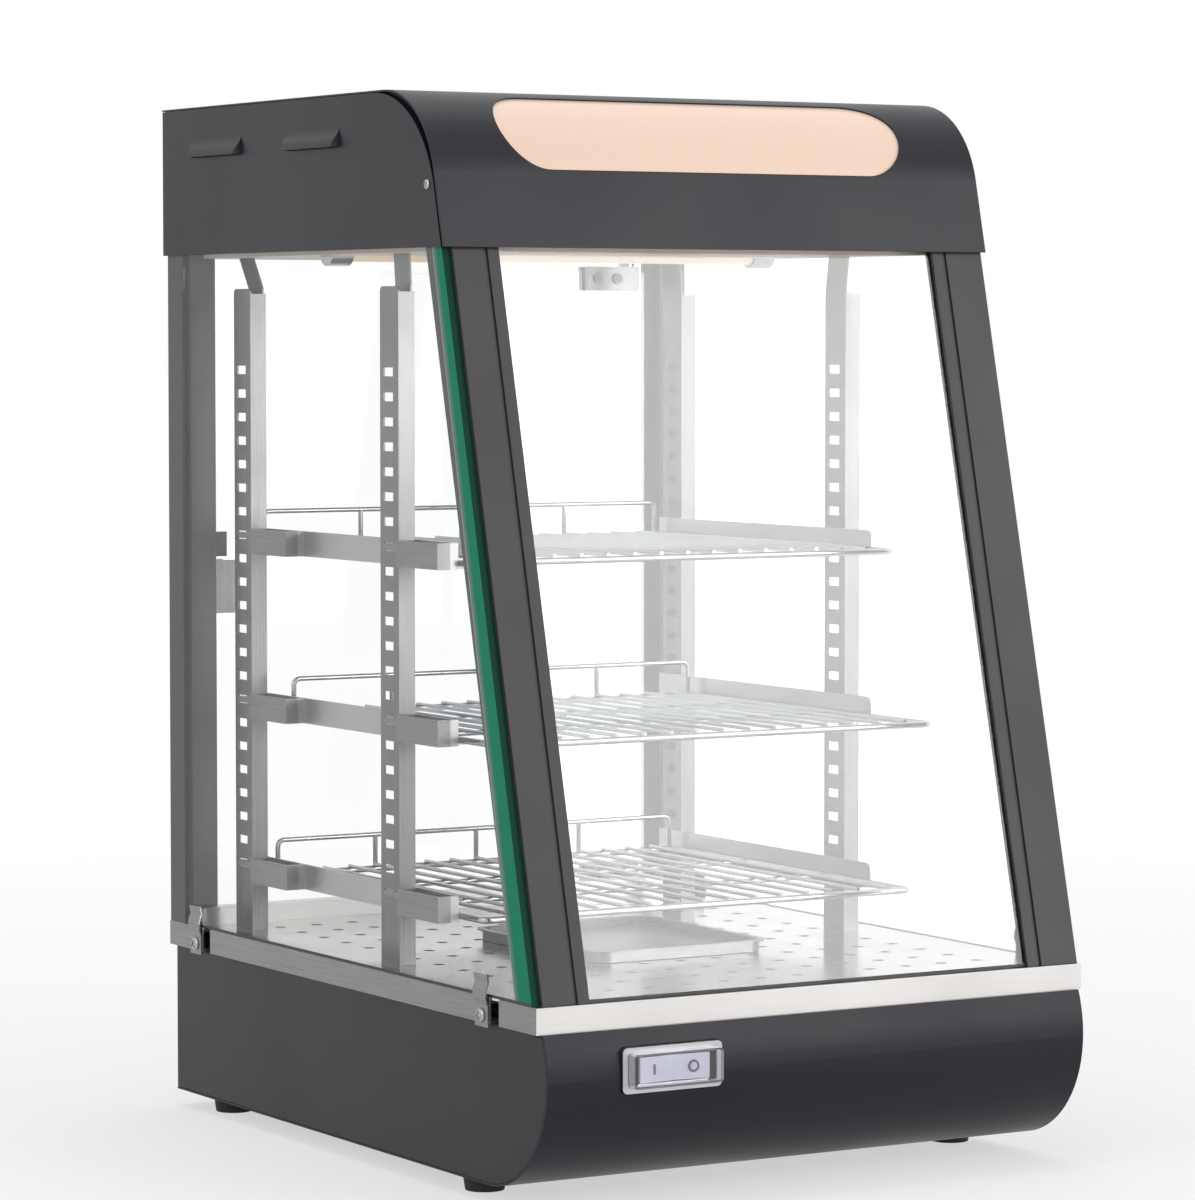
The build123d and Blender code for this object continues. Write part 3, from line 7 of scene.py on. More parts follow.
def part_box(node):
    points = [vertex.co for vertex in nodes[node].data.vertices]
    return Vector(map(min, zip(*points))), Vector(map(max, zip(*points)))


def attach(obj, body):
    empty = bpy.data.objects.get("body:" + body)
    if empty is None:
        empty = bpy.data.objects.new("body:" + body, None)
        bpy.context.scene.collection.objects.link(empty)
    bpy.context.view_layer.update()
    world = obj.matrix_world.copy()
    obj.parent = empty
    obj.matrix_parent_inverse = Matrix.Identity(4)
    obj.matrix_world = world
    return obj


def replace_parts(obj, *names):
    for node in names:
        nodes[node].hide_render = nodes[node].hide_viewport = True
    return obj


# Looks of the heated display case. Metres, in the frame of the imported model.
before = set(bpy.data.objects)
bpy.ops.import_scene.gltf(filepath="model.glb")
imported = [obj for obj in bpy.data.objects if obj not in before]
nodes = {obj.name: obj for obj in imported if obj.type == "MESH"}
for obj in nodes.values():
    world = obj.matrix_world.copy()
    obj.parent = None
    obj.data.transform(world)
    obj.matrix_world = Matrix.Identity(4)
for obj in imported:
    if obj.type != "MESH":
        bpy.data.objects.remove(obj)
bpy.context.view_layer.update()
scene = bpy.context.scene
scene.view_settings.view_transform = "Standard"


# Puts an object with some data into the scene
def placed(name, data):
    thing = bpy.data.objects.new(name, data)
    scene.collection.objects.link(thing)
    return thing


# Turns a bmesh into a mesh
def mesh_of(bm, name):
    mesh = bpy.data.meshes.new(name)
    bm.to_mesh(mesh)
    bm.free()
    return mesh


# The mesh of a curve, or of an object with its modifiers
def evaluated_mesh(thing):
    bpy.context.view_layer.update()
    return bpy.data.meshes.new_from_object(thing.evaluated_get(bpy.context.evaluated_depsgraph_get()))


# Camera at the photograph's angle
camera_place = (-1.4390, -2.4036, 0.4729)
camera_turn = radians(-30.762)
camera_tilt = radians(3.189)
camera_lens = 142.34
sensor_size = 36.0
camera_range = 50.0
camera_data = bpy.data.cameras.new("camera")
camera_data.lens = camera_lens
camera_data.sensor_width = sensor_size
camera_data.clip_end = camera_range
camera = placed("camera", camera_data)
camera.location = camera_place
camera.rotation_euler = (pi / 2 - camera_tilt, 0.0, camera_turn)
scene.camera = camera

# Where a colour mix node keeps its factor, its two colours and its result
colour_mix_inputs = (0, 6, 7)
colour_mix_output = 2

# Ranges that several finishes use: the middle of a noise, and a share that falls
middle_noise = (0.3, 0.7)
falling = (1.0, 0.0)
white = (1.0, 1.0, 1.0, 1.0)

# Rounded edges show by how far the softened normal turns from the face's own
bevel_samples = 4
edge_turn = (0.86, 0.995)


# Small helpers for node trees
class Tree:
    def __init__(self, tree):
        self.tree = tree

    def add(self, kind, **settings):
        node = self.tree.nodes.new(kind)
        for key, value in settings.items():
            setattr(node, key, value)
        return node

    def link(self, source, target):
        self.tree.links.new(source, target)

    def fill(self, sockets, values):
        for socket, value in zip(sockets, values):
            if isinstance(value, bpy.types.NodeSocket):
                self.link(value, socket)
            else:
                socket.default_value = value

    def feed(self, node, **values):
        self.fill([node.inputs[key.replace("_", " ")] for key in values], values.values())
        return node

    def place(self, stretch=(1.0, 1.0, 1.0)):
        coordinates = self.add("ShaderNodeTexCoord")
        mapping = self.add("ShaderNodeMapping")
        return self.feed(mapping, Vector=coordinates.outputs["Object"], Scale=stretch).outputs["Vector"]

    def noise(self, vector, scale, detail=2.0, roughness=0.5):
        texture = self.add("ShaderNodeTexNoise")
        self.feed(texture, Vector=vector, Scale=scale, Detail=detail, Roughness=roughness)
        return texture.outputs["Fac"]

    def spread(self, value, source, target=(0.0, 1.0)):
        node = self.add("ShaderNodeMapRange")
        self.feed(node, Value=value, From_Min=source[0], From_Max=source[1])
        self.feed(node, To_Min=target[0], To_Max=target[1])
        return node.outputs["Result"]

    def math(self, operation, first, second=0.0):
        node = self.add("ShaderNodeMath", operation=operation)
        self.fill(node.inputs, (first, second))
        return node.outputs["Value"]

    def dot(self, first, second):
        node = self.add("ShaderNodeVectorMath", operation="DOT_PRODUCT")
        self.fill(node.inputs, (first, second))
        return node.outputs["Value"]

    def split(self, vector):
        node = self.add("ShaderNodeSeparateXYZ")
        self.link(vector, node.inputs[0])
        return node.outputs

    def blend(self, amount, first, second):
        node = self.add("ShaderNodeMix", data_type="RGBA")
        self.fill([node.inputs[number] for number in colour_mix_inputs], (amount, first, second))
        return node.outputs[colour_mix_output]

    def show_mix(self, amount, first, second):
        node = self.add("ShaderNodeMixShader")
        self.fill(node.inputs, (amount, first.outputs[0], second.outputs[0]))
        self.link(node.outputs[0], self.tree.nodes["Material Output"].inputs["Surface"])

    def seen_directly(self):
        rays = self.add("ShaderNodeLightPath").outputs
        direct = self.math("MAXIMUM", rays["Is Camera Ray"], rays["Is Glossy Ray"])
        return self.math("MAXIMUM", direct, rays["Is Transmission Ray"])

    def bump(self, height, strength, distance, normal=None):
        node = self.add("ShaderNodeBump")
        self.feed(node, Height=height, Strength=strength, Distance=distance)
        if normal:
            self.link(normal, node.inputs["Normal"])
        return node.outputs["Normal"]

    def rounded(self, radius):
        node = self.add("ShaderNodeBevel", samples=bevel_samples)
        return self.feed(node, Radius=radius).outputs["Normal"]

    def edges(self, soft_normal):
        geometry = self.add("ShaderNodeNewGeometry")
        return self.spread(self.dot(soft_normal, geometry.outputs["True Normal"]), edge_turn, falling)


# A new node material with its shader
def new_material(name):
    material = bpy.data.materials.new(name)
    material.use_nodes = True
    shader = material.node_tree.nodes["Principled BSDF"]
    return material, Tree(material.node_tree), shader


# A colour times a factor
def scaled(colour, factor):
    return tuple(min(channel * factor, 1.0) for channel in colour[:3]) + (1.0,)


# Powder coat: an orange-peel skin, cloudy gloss and paler edges
def painted(name, colour, roughness, gloss=0.35, edge_gain=1.5):
    peel_scale = 1300.0
    peel_strength = 0.035
    peel_depth = 0.0002
    cloud_scale = 9.0
    cloud_dark = 0.94
    cloud_pale = 1.06
    smoother = 0.04
    rougher = 0.05
    speck_scale = 5200.0
    speck_noise = (0.5, 0.75)
    speck_share = 0.1
    speck_gain = 1.5
    edge_radius = 0.0006
    wear_noise = (0.35, 0.7)
    wear_range = (0.25, 0.9)
    material, tree, shader = new_material(name)
    spot = tree.place()
    peel = tree.noise(spot, peel_scale, detail=3.0, roughness=0.55)
    cloud = tree.noise(spot, cloud_scale, detail=3.0)
    speck = tree.noise(spot, speck_scale, detail=1.0)
    soft = tree.rounded(edge_radius)
    wear = tree.math("MULTIPLY", tree.edges(soft), tree.spread(cloud, wear_noise, wear_range))
    clouded = tree.spread(cloud, middle_noise)
    specked = tree.spread(speck, speck_noise, (0.0, speck_share))
    body = tree.blend(clouded, scaled(colour, cloud_dark), scaled(colour, cloud_pale))
    grain = tree.blend(specked, body, scaled(colour, speck_gain))
    tree.feed(
        shader,
        Base_Color=tree.blend(wear, grain, scaled(colour, edge_gain)),
        Roughness=tree.spread(cloud, middle_noise, (roughness - smoother, roughness + rougher)),
        Specular_IOR_Level=gloss,
        Normal=tree.bump(peel, peel_strength, peel_depth, soft),
    )
    return material


# The heights over which the painted shade low on the uprights fades out, and how far from the middle the
# rails' hook plates begin
painted_foot_shade = (0.15, 0.50)
hook_line = 0.150
hook_blur = 0.001


# Sheet steel with a fine brushed grain, with a painted tone on the faces turned to the sides (shade below
# one, light above), a painted shade low down, and another tone at the hooks
def brushed(
    name, colour, roughness, along, grain=0.12, painted_side_light=1.0, painted_low_shade=1.0, hook_tone=1.0, rim=white
):
    fine = 2600.0
    long = 26.0
    hairline_share = 0.1
    hairline_depth = 0.0001
    smear_scale = 14.0
    smoother = 0.05
    rougher = 0.07
    side_turn = (0.4, 0.8)
    edge_radius = 0.0003
    edge_share = 0.2
    stretch = tuple(long if axis in along else fine for axis in "xyz")
    material, tree, shader = new_material(name)
    hairline = tree.noise(tree.place(stretch), scale=1.0, detail=3.0, roughness=0.6)
    smear = tree.noise(tree.place(), smear_scale, detail=3.0, roughness=0.55)
    soft = tree.rounded(edge_radius)
    coordinates = tree.add("ShaderNodeTexCoord").outputs
    turned = tree.split(coordinates["Normal"])
    # Painted light and shade: faces turned to the sides get their own tone, darker below one and lighter
    # above
    painted_side_mask = tree.spread(tree.math("ABSOLUTE", turned["X"]), side_turn)
    base = tree.blend(painted_side_mask, colour, scaled(colour, painted_side_light))
    spot = tree.split(coordinates["Object"])
    # Painted shade, darker towards the bottom
    if painted_low_shade < 1.0:
        base = tree.blend(tree.spread(spot["Z"], painted_foot_shade, falling), base, scaled(colour, painted_low_shade))
    if hook_tone < 1.0:
        hooks = tree.spread(tree.math("ABSOLUTE", spot["X"]), (hook_line, hook_line + hook_blur))
        base = tree.blend(hooks, base, scaled(colour, hook_tone))
    tone = tree.blend(tree.spread(hairline, middle_noise, (hairline_share, 0.0)), base, white)
    tree.feed(
        shader,
        Base_Color=tree.blend(tree.math("MULTIPLY", tree.edges(soft), edge_share), tone, white),
        Metallic=1.0,
        Specular_Tint=rim,
        Roughness=tree.spread(smear, middle_noise, (roughness - smoother, roughness + rougher)),
        Normal=tree.bump(hairline, grain, hairline_depth, soft),
    )
    return material


# Bright plated wire and screws
def plated(name, colour, roughness):
    smudge_scale = 60.0
    smudge_noise = (0.35, 0.7)
    smudge_tone = 0.88
    smudge_roughness = 0.1
    ripple_scale = 420.0
    ripple_strength = 0.05
    ripple_depth = 0.0002
    material, tree, shader = new_material(name)
    spot = tree.place()
    smudge = tree.noise(spot, smudge_scale, detail=3.0, roughness=0.6)
    ripple = tree.noise(spot, ripple_scale)
    tree.feed(
        shader,
        Base_Color=tree.blend(tree.spread(smudge, smudge_noise), colour, scaled(colour, smudge_tone)),
        Metallic=1.0,
        Roughness=tree.spread(smudge, middle_noise, (roughness, roughness + smudge_roughness)),
        Normal=tree.bump(ripple, ripple_strength, ripple_depth),
    )
    return material


# Moulded plastic with a fine texture
def moulded(name, colour, roughness, grain_scale=1800.0, strength=0.12):
    cloud_scale = 40.0
    cloud_tone = 1.12
    cloud_roughness = 0.06
    grain_depth = 0.0002
    edge_radius = 0.0004
    material, tree, shader = new_material(name)
    spot = tree.place()
    grain = tree.noise(spot, grain_scale)
    cloud = tree.noise(spot, cloud_scale)
    soft = tree.rounded(edge_radius)
    tree.feed(
        shader,
        Base_Color=tree.blend(tree.spread(cloud, middle_noise), colour, scaled(colour, cloud_tone)),
        Roughness=tree.spread(cloud, middle_noise, (roughness, roughness + cloud_roughness)),
        Normal=tree.bump(grain, strength, grain_depth, soft),
    )
    return material


# Clear glass or plastic that lets the lamps through, with tinted matt edges and perhaps a painted glow strip
# along one
def clear(name, facing, tint, edge_colour, edge_cover, roughness=0.0, index=1.5, painted_glow_strip=None):
    smudge_scale = 22.0
    smudge_noise = (0.45, 0.8)
    smudge_roughness = 0.003
    cut_turn = (0.4, 0.6)
    cut_roughness = 0.55
    strip_blur = 0.0004
    strip_fade = 0.005
    material, tree, shader = new_material(name)
    coordinates = tree.add("ShaderNodeTexCoord").outputs
    smudge = tree.noise(tree.place(), smudge_scale, detail=3.0, roughness=0.6)
    smear = tree.spread(smudge, smudge_noise, (roughness, roughness + smudge_roughness))
    side_on = tree.math("ABSOLUTE", tree.dot(coordinates["Normal"], facing))
    cover = tree.spread(side_on, cut_turn, (edge_cover, 0.0))
    colour = tree.blend(cover, tint, edge_colour)
    # Painted glow: in front of a sloping line the pane is opaque, a bright strip fading to grey towards the
    # line
    if painted_glow_strip:
        foot, slope, painted_glow_colour = painted_glow_strip
        spot = tree.split(coordinates["Object"])
        line = tree.math("ADD", tree.math("MULTIPLY", spot["Z"], slope), foot)
        behind = tree.math("SUBTRACT", spot["Y"], line)
        inside = tree.spread(behind, (-strip_blur, strip_blur), falling)
        painted_glow_colour = tree.blend(tree.spread(behind, (-strip_fade, 0.0)), painted_glow_colour, glass_grey)
        cover = tree.math("MULTIPLY", cover, inside)
        colour = tree.blend(inside, tint, tree.blend(cover, painted_glow_colour, edge_colour))
        cover = inside
    tree.feed(
        shader,
        Base_Color=colour,
        Roughness=tree.math("ADD", smear, tree.math("MULTIPLY", cover, cut_roughness)),
        IOR=index,
        Transmission_Weight=tree.math("SUBTRACT", 1.0, cover),
    )
    rays = tree.add("ShaderNodeLightPath").outputs
    lighting = tree.math("MAXIMUM", rays["Is Shadow Ray"], rays["Is Diffuse Ray"])
    passing = tree.feed(tree.add("ShaderNodeBsdfTransparent"), Color=tint)
    tree.show_mix(lighting, shader, passing)
    return material


# Lit sheet or tube: a soft diffuser with its own light
def lit(name, colour, strength, roughness, falloff=0.0):
    cloud_scale = 7.0
    wide_noise = (0.1, 0.9)
    cloud_roughness = 0.08
    body_share = 0.45
    material, tree, shader = new_material(name)
    cloud = tree.noise(tree.place(), cloud_scale)
    tree.feed(
        shader,
        Base_Color=scaled(colour, body_share),
        Roughness=tree.spread(cloud, wide_noise, (roughness, roughness + cloud_roughness)),
        Emission_Color=tree.blend(tree.spread(cloud, wide_noise), colour, scaled(colour, 1.0 - falloff)),
        Emission_Strength=strength,
    )
    return material


# Colours
charcoal = (0.013, 0.012, 0.018, 1.0)
# Painted light: a paler charcoal for the front posts
post_charcoal = (0.030, 0.030, 0.034, 1.0)
rear_charcoal = (0.085, 0.084, 0.092, 1.0)
band_grey = (0.52, 0.505, 0.495, 1.0)
deck_grey = (0.50, 0.495, 0.49, 1.0)
deck_rim = (0.84, 0.84, 0.84, 1.0)
upright_grey = (0.25, 0.248, 0.247, 1.0)
# Painted shade: a darker copy of the upright grey for the right uprights
right_upright_shaded_grey = (0.13, 0.128, 0.13, 1.0)
rail_grey = (0.36, 0.36, 0.36, 1.0)
pan_grey = (0.16, 0.16, 0.165, 1.0)
hidden_grey = (0.42, 0.42, 0.42, 1.0)
chrome = (0.40, 0.41, 0.435, 1.0)
screw_grey = (0.42, 0.42, 0.43, 1.0)
clamp_grey = (0.12, 0.12, 0.125, 1.0)
hinge_screw_grey = (0.07, 0.07, 0.07, 1.0)
pull_grey = (0.15, 0.15, 0.155, 1.0)
dark_plastic = (0.022, 0.022, 0.024, 1.0)
bezel_grey = (0.43, 0.42, 0.44, 1.0)
pale_plastic = (0.58, 0.58, 0.65, 1.0)
mark_grey = (0.16, 0.16, 0.18, 1.0)
rubber = (0.020, 0.020, 0.021, 1.0)
peach = (0.98, 0.73, 0.58, 1.0)
reflector = (0.62, 0.53, 0.46, 1.0)
lamp_warm = (1.0, 0.80, 0.62, 1.0)
sheath = (0.22, 0.20, 0.19, 1.0)
glass_tint = (0.99, 0.998, 0.994, 1.0)
# Painted shade for the left pane's cut edges, on the glass's own dark green
glass_edge_painted_shade = (0.003, 0.040, 0.026, 1.0)
glass_green = (0.012, 0.150, 0.105, 1.0)
# Painted glow for the strip behind the left pane's front edge, fading into the grey below
glass_painted_glow = (0.010, 0.215, 0.120, 1.0)
glass_grey = (0.20, 0.27, 0.24, 1.0)
cap_tint = (0.96, 0.96, 0.985, 1.0)
cap_edge = (0.75, 0.75, 0.80, 1.0)

# Finishes
paint = painted("charcoal_paint", charcoal, roughness=0.36, gloss=0.28)
base_paint = painted("base_paint", charcoal, roughness=0.36, gloss=0.21)
# The front posts: a paler copy of the charcoal, painted light for the brighter sky their backward lean
# mirrors
post_paint = painted("post_paint", post_charcoal, roughness=0.42)
rear_paint = painted("rear_post_paint", rear_charcoal, roughness=0.42)
# The band: painted shade on its side faces
band_steel = brushed("band_steel", band_grey, roughness=0.34, along="xy", painted_side_light=0.42)
deck_steel = brushed("deck_steel", deck_grey, roughness=0.16, along="x", grain=0.03, rim=deck_rim)
# The uprights: painted shade on the faces turned to the sides and low down
upright_steel = brushed(
    "upright_steel", upright_grey, roughness=0.36, along="z", painted_side_light=0.6, painted_low_shade=0.45
)
# The right uprights: a darker copy of the upright steel as painted shade, with painted light on the faces
# turned to the sides
right_upright_shaded_steel = brushed(
    "right_upright_shaded_steel", right_upright_shaded_grey, roughness=0.36, along="z", painted_side_light=1.2
)
rail_steel = brushed("rail_steel", rail_grey, roughness=0.36, along="y", hook_tone=0.45)
pan_steel = brushed("pan_steel", pan_grey, roughness=0.34, along="x")
hidden_steel = brushed("hidden_steel", hidden_grey, roughness=0.45, along="x")
wire = plated("bright_wire", chrome, roughness=0.12)
screw_metal = plated("screw_metal", screw_grey, roughness=0.2)
hinge_screw = plated("hinge_screw_metal", hinge_screw_grey, roughness=0.3)
clamp = brushed("clamp_metal", clamp_grey, roughness=0.3, along="x")
pull = brushed("pull_metal", pull_grey, roughness=0.4, along="z")
black_plastic = moulded("black_plastic", dark_plastic, roughness=0.45)
bezel_metal = plated("bezel_metal", bezel_grey, roughness=0.3)
rocker_plastic = moulded("rocker_plastic", pale_plastic, roughness=0.2, grain_scale=700.0, strength=0.03)
mark_paint = moulded("mark_paint", mark_grey, roughness=0.5)
foot_rubber = moulded("foot_rubber", rubber, roughness=0.75, grain_scale=900.0, strength=0.35)
sign_plastic = lit("sign_plastic", peach, strength=0.42, roughness=0.25, falloff=0.06)
ceiling_paint = painted("ceiling_paint", reflector, roughness=0.5, edge_gain=1.1)
lamp_glass = lit("lamp_glass", lamp_warm, strength=0.35, roughness=0.3)
element_steel = brushed("element_steel", sheath, roughness=0.5, along="y")

# The panes: their directions, and an index for those that should mirror less than real glass
lean = radians(13.6)
side_index = 1.2
across = (1.0, 0.0, 0.0)
through = (0.0, 1.0, 0.0)
leaning = (0.0, -cos(lean), sin(lean))

# The left pane's painted glow, a bright strip behind its front edge, narrows upwards
strip_foot_width = 0.018
strip_narrowing = 0.018
pane_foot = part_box("side_glass_left")[0]
strip_slope = tan(lean) - strip_narrowing
strip_foot = pane_foot.y + strip_foot_width - pane_foot.z * strip_slope
painted_glow_strip = (strip_foot, strip_slope, glass_painted_glow)
# The left pane's cut edges are fully covered in painted shade
left_pane = clear("left_glass", across, glass_tint, glass_edge_painted_shade, edge_cover=1.0, index=side_index, painted_glow_strip=painted_glow_strip)
side_pane = clear("side_glass", across, glass_tint, glass_green, edge_cover=0.85, index=side_index)
front_pane = clear("front_glass", leaning, glass_tint, glass_green, edge_cover=0.5)
door_pane = clear("door_glass", through, glass_tint, glass_green, edge_cover=0.5, index=side_index)
cap_clear = clear("clear_plastic", through, cap_tint, cap_edge, edge_cover=0.25, roughness=0.03, index=1.3)

# The finish of each CAD material, and of the nodes that have one of their own
finishes = {
    "charcoal_paint": paint,
    "satin_steel": band_steel,
    "bright_wire": wire,
    "clamp_metal": clamp,
    "pull_metal": pull,
    "black_plastic": black_plastic,
    "clear_plastic": cap_clear,
    "rocker_plastic": rocker_plastic,
    "foot_rubber": foot_rubber,
    "sign_plastic": sign_plastic,
    "ceiling_paint": ceiling_paint,
    "lamp_glass": lamp_glass,
    "element_steel": element_steel,
    "clear_glass": side_pane,
}
own_finish = {
    "front_glass": front_pane,
    "door_glass": door_pane,
    "water_pan": pan_steel,
    "base_shell": base_paint,
    "heat_shield": hidden_steel,
    "element_brackets": hidden_steel,
    "switch_frame": bezel_metal,
    "door_hinge_screws": hinge_screw,
    "side_glass_left": left_pane,
    "front_post_left": post_paint,
    "front_post_right": post_paint,
    "rear_post_left": rear_paint,
    "rear_post_right": rear_paint,
}
for node_name, node in nodes.items():
    if node_name.startswith("upright_"):
        own_finish[node_name] = right_upright_shaded_steel if node_name.endswith("right") else upright_steel
    if node_name.startswith("shelf_rail_"):
        own_finish[node_name] = rail_steel
    for material_slot in node.material_slots:
        slot_name = material_slot.material.name.split(".")[0]
        material_slot.material = own_finish.get(node_name, finishes.get(slot_name))


# Turns a bmesh, drawn where it stands at rest, into a piece of a body
def piece_from(bm, name, material, body):
    mesh = mesh_of(bm, name)
    mesh.materials.append(material)
    piece = placed(name, mesh)
    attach(piece, body)
    return piece


# Deck plate with the photo's rows of round holes, each a closed curve through a few points
hole_radius = 0.0033
hole_pitch_x = 0.0246
hole_pitch_y = 0.0285
hole_columns = 12
hole_rows = 13
field_y = -0.0115
circle_points = 4
circle_steps = 5
plate_low, plate_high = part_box("deck_plate")
plate_curve = bpy.data.curves.new("deck_outline", "CURVE")
plate_curve.dimensions = "2D"
plate_curve.fill_mode = "BOTH"
plate_curve.resolution_u = circle_steps
plate_curve.extrude = (plate_high.z - plate_low.z) / 2


# Adds a line through some points to a curve, straight or bent as its handles say
def add_spline(curve, points, handles, closed):
    spline = curve.splines.new("BEZIER")
    spline.bezier_points.add(len(points) - 1)
    for knot, place in zip(spline.bezier_points, points):
        knot.co = place
        knot.handle_left_type = handles
        knot.handle_right_type = handles
    spline.use_cyclic_u = closed


plate_corners = [
    (plate_low.x, plate_low.y, 0.0),
    (plate_high.x, plate_low.y, 0.0),
    (plate_high.x, plate_high.y, 0.0),
    (plate_low.x, plate_high.y, 0.0),
]
circle_turns = [2 * pi * step / circle_points for step in range(circle_points)]
add_spline(plate_curve, plate_corners, "VECTOR", closed=True)
for column in range(hole_columns):
    for row in range(hole_rows):
        hole_x = (column - (hole_columns - 1) / 2) * hole_pitch_x
        hole_y = field_y + (row - (hole_rows - 1) / 2) * hole_pitch_y
        ring = [
            (hole_x + hole_radius * cos(turn), hole_y + hole_radius * sin(turn), 0.0) for turn in circle_turns
        ]
        add_spline(plate_curve, ring, "AUTO", closed=True)
plate_source = placed("deck_outline", plate_curve)
plate_mesh = evaluated_mesh(plate_source)
plate_mesh.transform(Matrix.Translation((0.0, 0.0, (plate_low.z + plate_high.z) / 2)))
bpy.data.objects.remove(plate_source)
plate_mesh.materials.clear()
plate_mesh.materials.append(deck_steel)
deck = placed("deck_sheet", plate_mesh)
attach(deck, "case")
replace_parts(deck, "deck_plate")


# A domed screw head with a cross recess, by its radius and height
def screw_head(radius, height):
    rings = 5
    around = 24
    foot_radius = radius * 0.96
    tip_radius = radius * 0.04
    rim_share = 0.25
    arm = radius * 0.62
    thick = radius * 0.17
    depth = height * 0.55
    cross_rise = depth * 0.25
    bm = bmesh.new()
    profile = [(foot_radius, 0.0), (radius, height * rim_share)]
    for ring in range(1, rings):
        turn = pi / 2 * ring / rings
        profile.append((radius * cos(turn), height * (rim_share + (1.0 - rim_share) * sin(turn))))
    profile.append((tip_radius, height))
    loops = []
    turns = [2 * pi * step / around for step in range(around)]
    for reach, level in profile:
        loops.append([bm.verts.new((reach * cos(turn), reach * sin(turn), level)) for turn in turns])
    for lower, upper in zip(loops, loops[1:]):
        for step in range(around):
            after = (step + 1) % around
            bm.faces.new((lower[step], lower[after], upper[after], upper[step]))
    bm.faces.new(loops[-1])
    bm.faces.new(list(reversed(loops[0])))
    head = placed("head", mesh_of(bm, "head"))
    cross = bmesh.new()
    for reach_x, reach_y in ((arm, thick), (thick, arm)):
        made = bmesh.ops.create_cube(cross, size=2.0)["verts"]
        bmesh.ops.scale(cross, vec=(reach_x, reach_y, depth), verts=made)
        bmesh.ops.translate(cross, vec=(0.0, 0.0, height + cross_rise), verts=made)
    cutter = placed("cross", mesh_of(cross, "cross"))
    cut = head.modifiers.new("cut", "BOOLEAN")
    cut.operation = "DIFFERENCE"
    cut.solver = "EXACT"
    cut.use_self = True
    cut.object = cutter
    ready = evaluated_mesh(head)
    for thing in (head, cutter):
        bpy.data.objects.remove(thing)
    return ready


# Puts screw heads at places, each with the way it faces and the turn of its cross, as one piece
def screws(name, radius, height, places, body):
    head = screw_head(radius, height)
    bm = bmesh.new()
    for place, facing, roll in places:
        turn = Vector((0.0, 0.0, 1.0)).rotation_difference(Vector(facing)).to_matrix().to_4x4()
        spin = Matrix.Rotation(roll, 4, "Z")
        copy = head.copy()
        copy.transform(Matrix.Translation(place) @ turn @ spin)
        bm.from_mesh(copy)
        bpy.data.meshes.remove(copy)
    return piece_from(bm, name, screw_metal, body)


# The box round each loose part of a CAD node, by its lowest and highest corner
def loose_boxes(node_name):
    join_distance = 0.00001
    bm = bmesh.new()
    bm.from_mesh(nodes[node_name].data)
    bmesh.ops.remove_doubles(bm, verts=bm.verts, dist=join_distance)
    seen = set()
    found = []
    for start in bm.verts:
        if start in seen:
            continue
        group = []
        queue = [start]
        seen.add(start)
        while queue:
            vert = queue.pop()
            group.append(vert.co.copy())
            for edge in vert.link_edges:
                other = edge.other_vert(vert)
                if other not in seen:
                    seen.add(other)
                    queue.append(other)
        low = Vector(min(co[axis] for co in group) for axis in range(3))
        high = Vector(max(co[axis] for co in group) for axis in range(3))
        found.append((low, high))
    bm.free()
    return found


# The screws on the two sides get detailed heads: radius, height and first turn of the cross
for node_name, radius, height, first_turn in (
    ("clip_screws", 0.0040, 0.0020, 0.4),
    ("hood_screws", 0.0028, 0.0014, 0.3),
):
    places = []
    for low, high in loose_boxes(node_name):
        side = 1 if low.x > 0 else -1
        face = high.x - height if side > 0 else low.x + height
        middle = (low + high) / 2
        places.append(((face, middle.y, middle.z), (side, 0, 0), first_turn + middle.y))
    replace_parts(screws(node_name + "_heads", radius, height, places, "case"), node_name)

# Black sealing beads along the feet of the front pane and of the left one
seal_proud = 0.0004
seal_height = 0.0015
seal_profile = ((0.0, 0.0), (1.0, 0.0), (1.0, 0.6), (0.6, 0.9), (0.0, 1.0))


# A bead from one end to the other, with the profile's shares of the two sizes outward and upward
def seal(name, start, end, outward, upward):
    bm = bmesh.new()
    loops = []
    for place in (start, end):
        loop = []
        for out, rise in seal_profile:
            reach = Vector(outward) * seal_proud * out + Vector(upward) * seal_height * rise
            loop.append(bm.verts.new(Vector(place) + reach))
        loops.append(loop)
    count = len(seal_profile)
    for step in range(count):
        after = (step + 1) % count
        bm.faces.new((loops[0][step], loops[0][after], loops[1][after], loops[1][step]))
    bm.faces.new(loops[0])
    bm.faces.new(loops[1])
    bmesh.ops.recalc_face_normals(bm, faces=bm.faces)
    return piece_from(bm, name, black_plastic, "case")


upright_way = (0.0, 0.0, 1.0)
leaning_way = (0.0, sin(lean), cos(lean))
low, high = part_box("side_glass_left")
seal("seal_side_glass", low, (low.x, high.y, low.z), (-1.0, 0.0, 0.0), upright_way)
low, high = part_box("front_glass")
seal("seal_front_glass", low, (high.x, low.y, low.z), leaning, leaning_way)

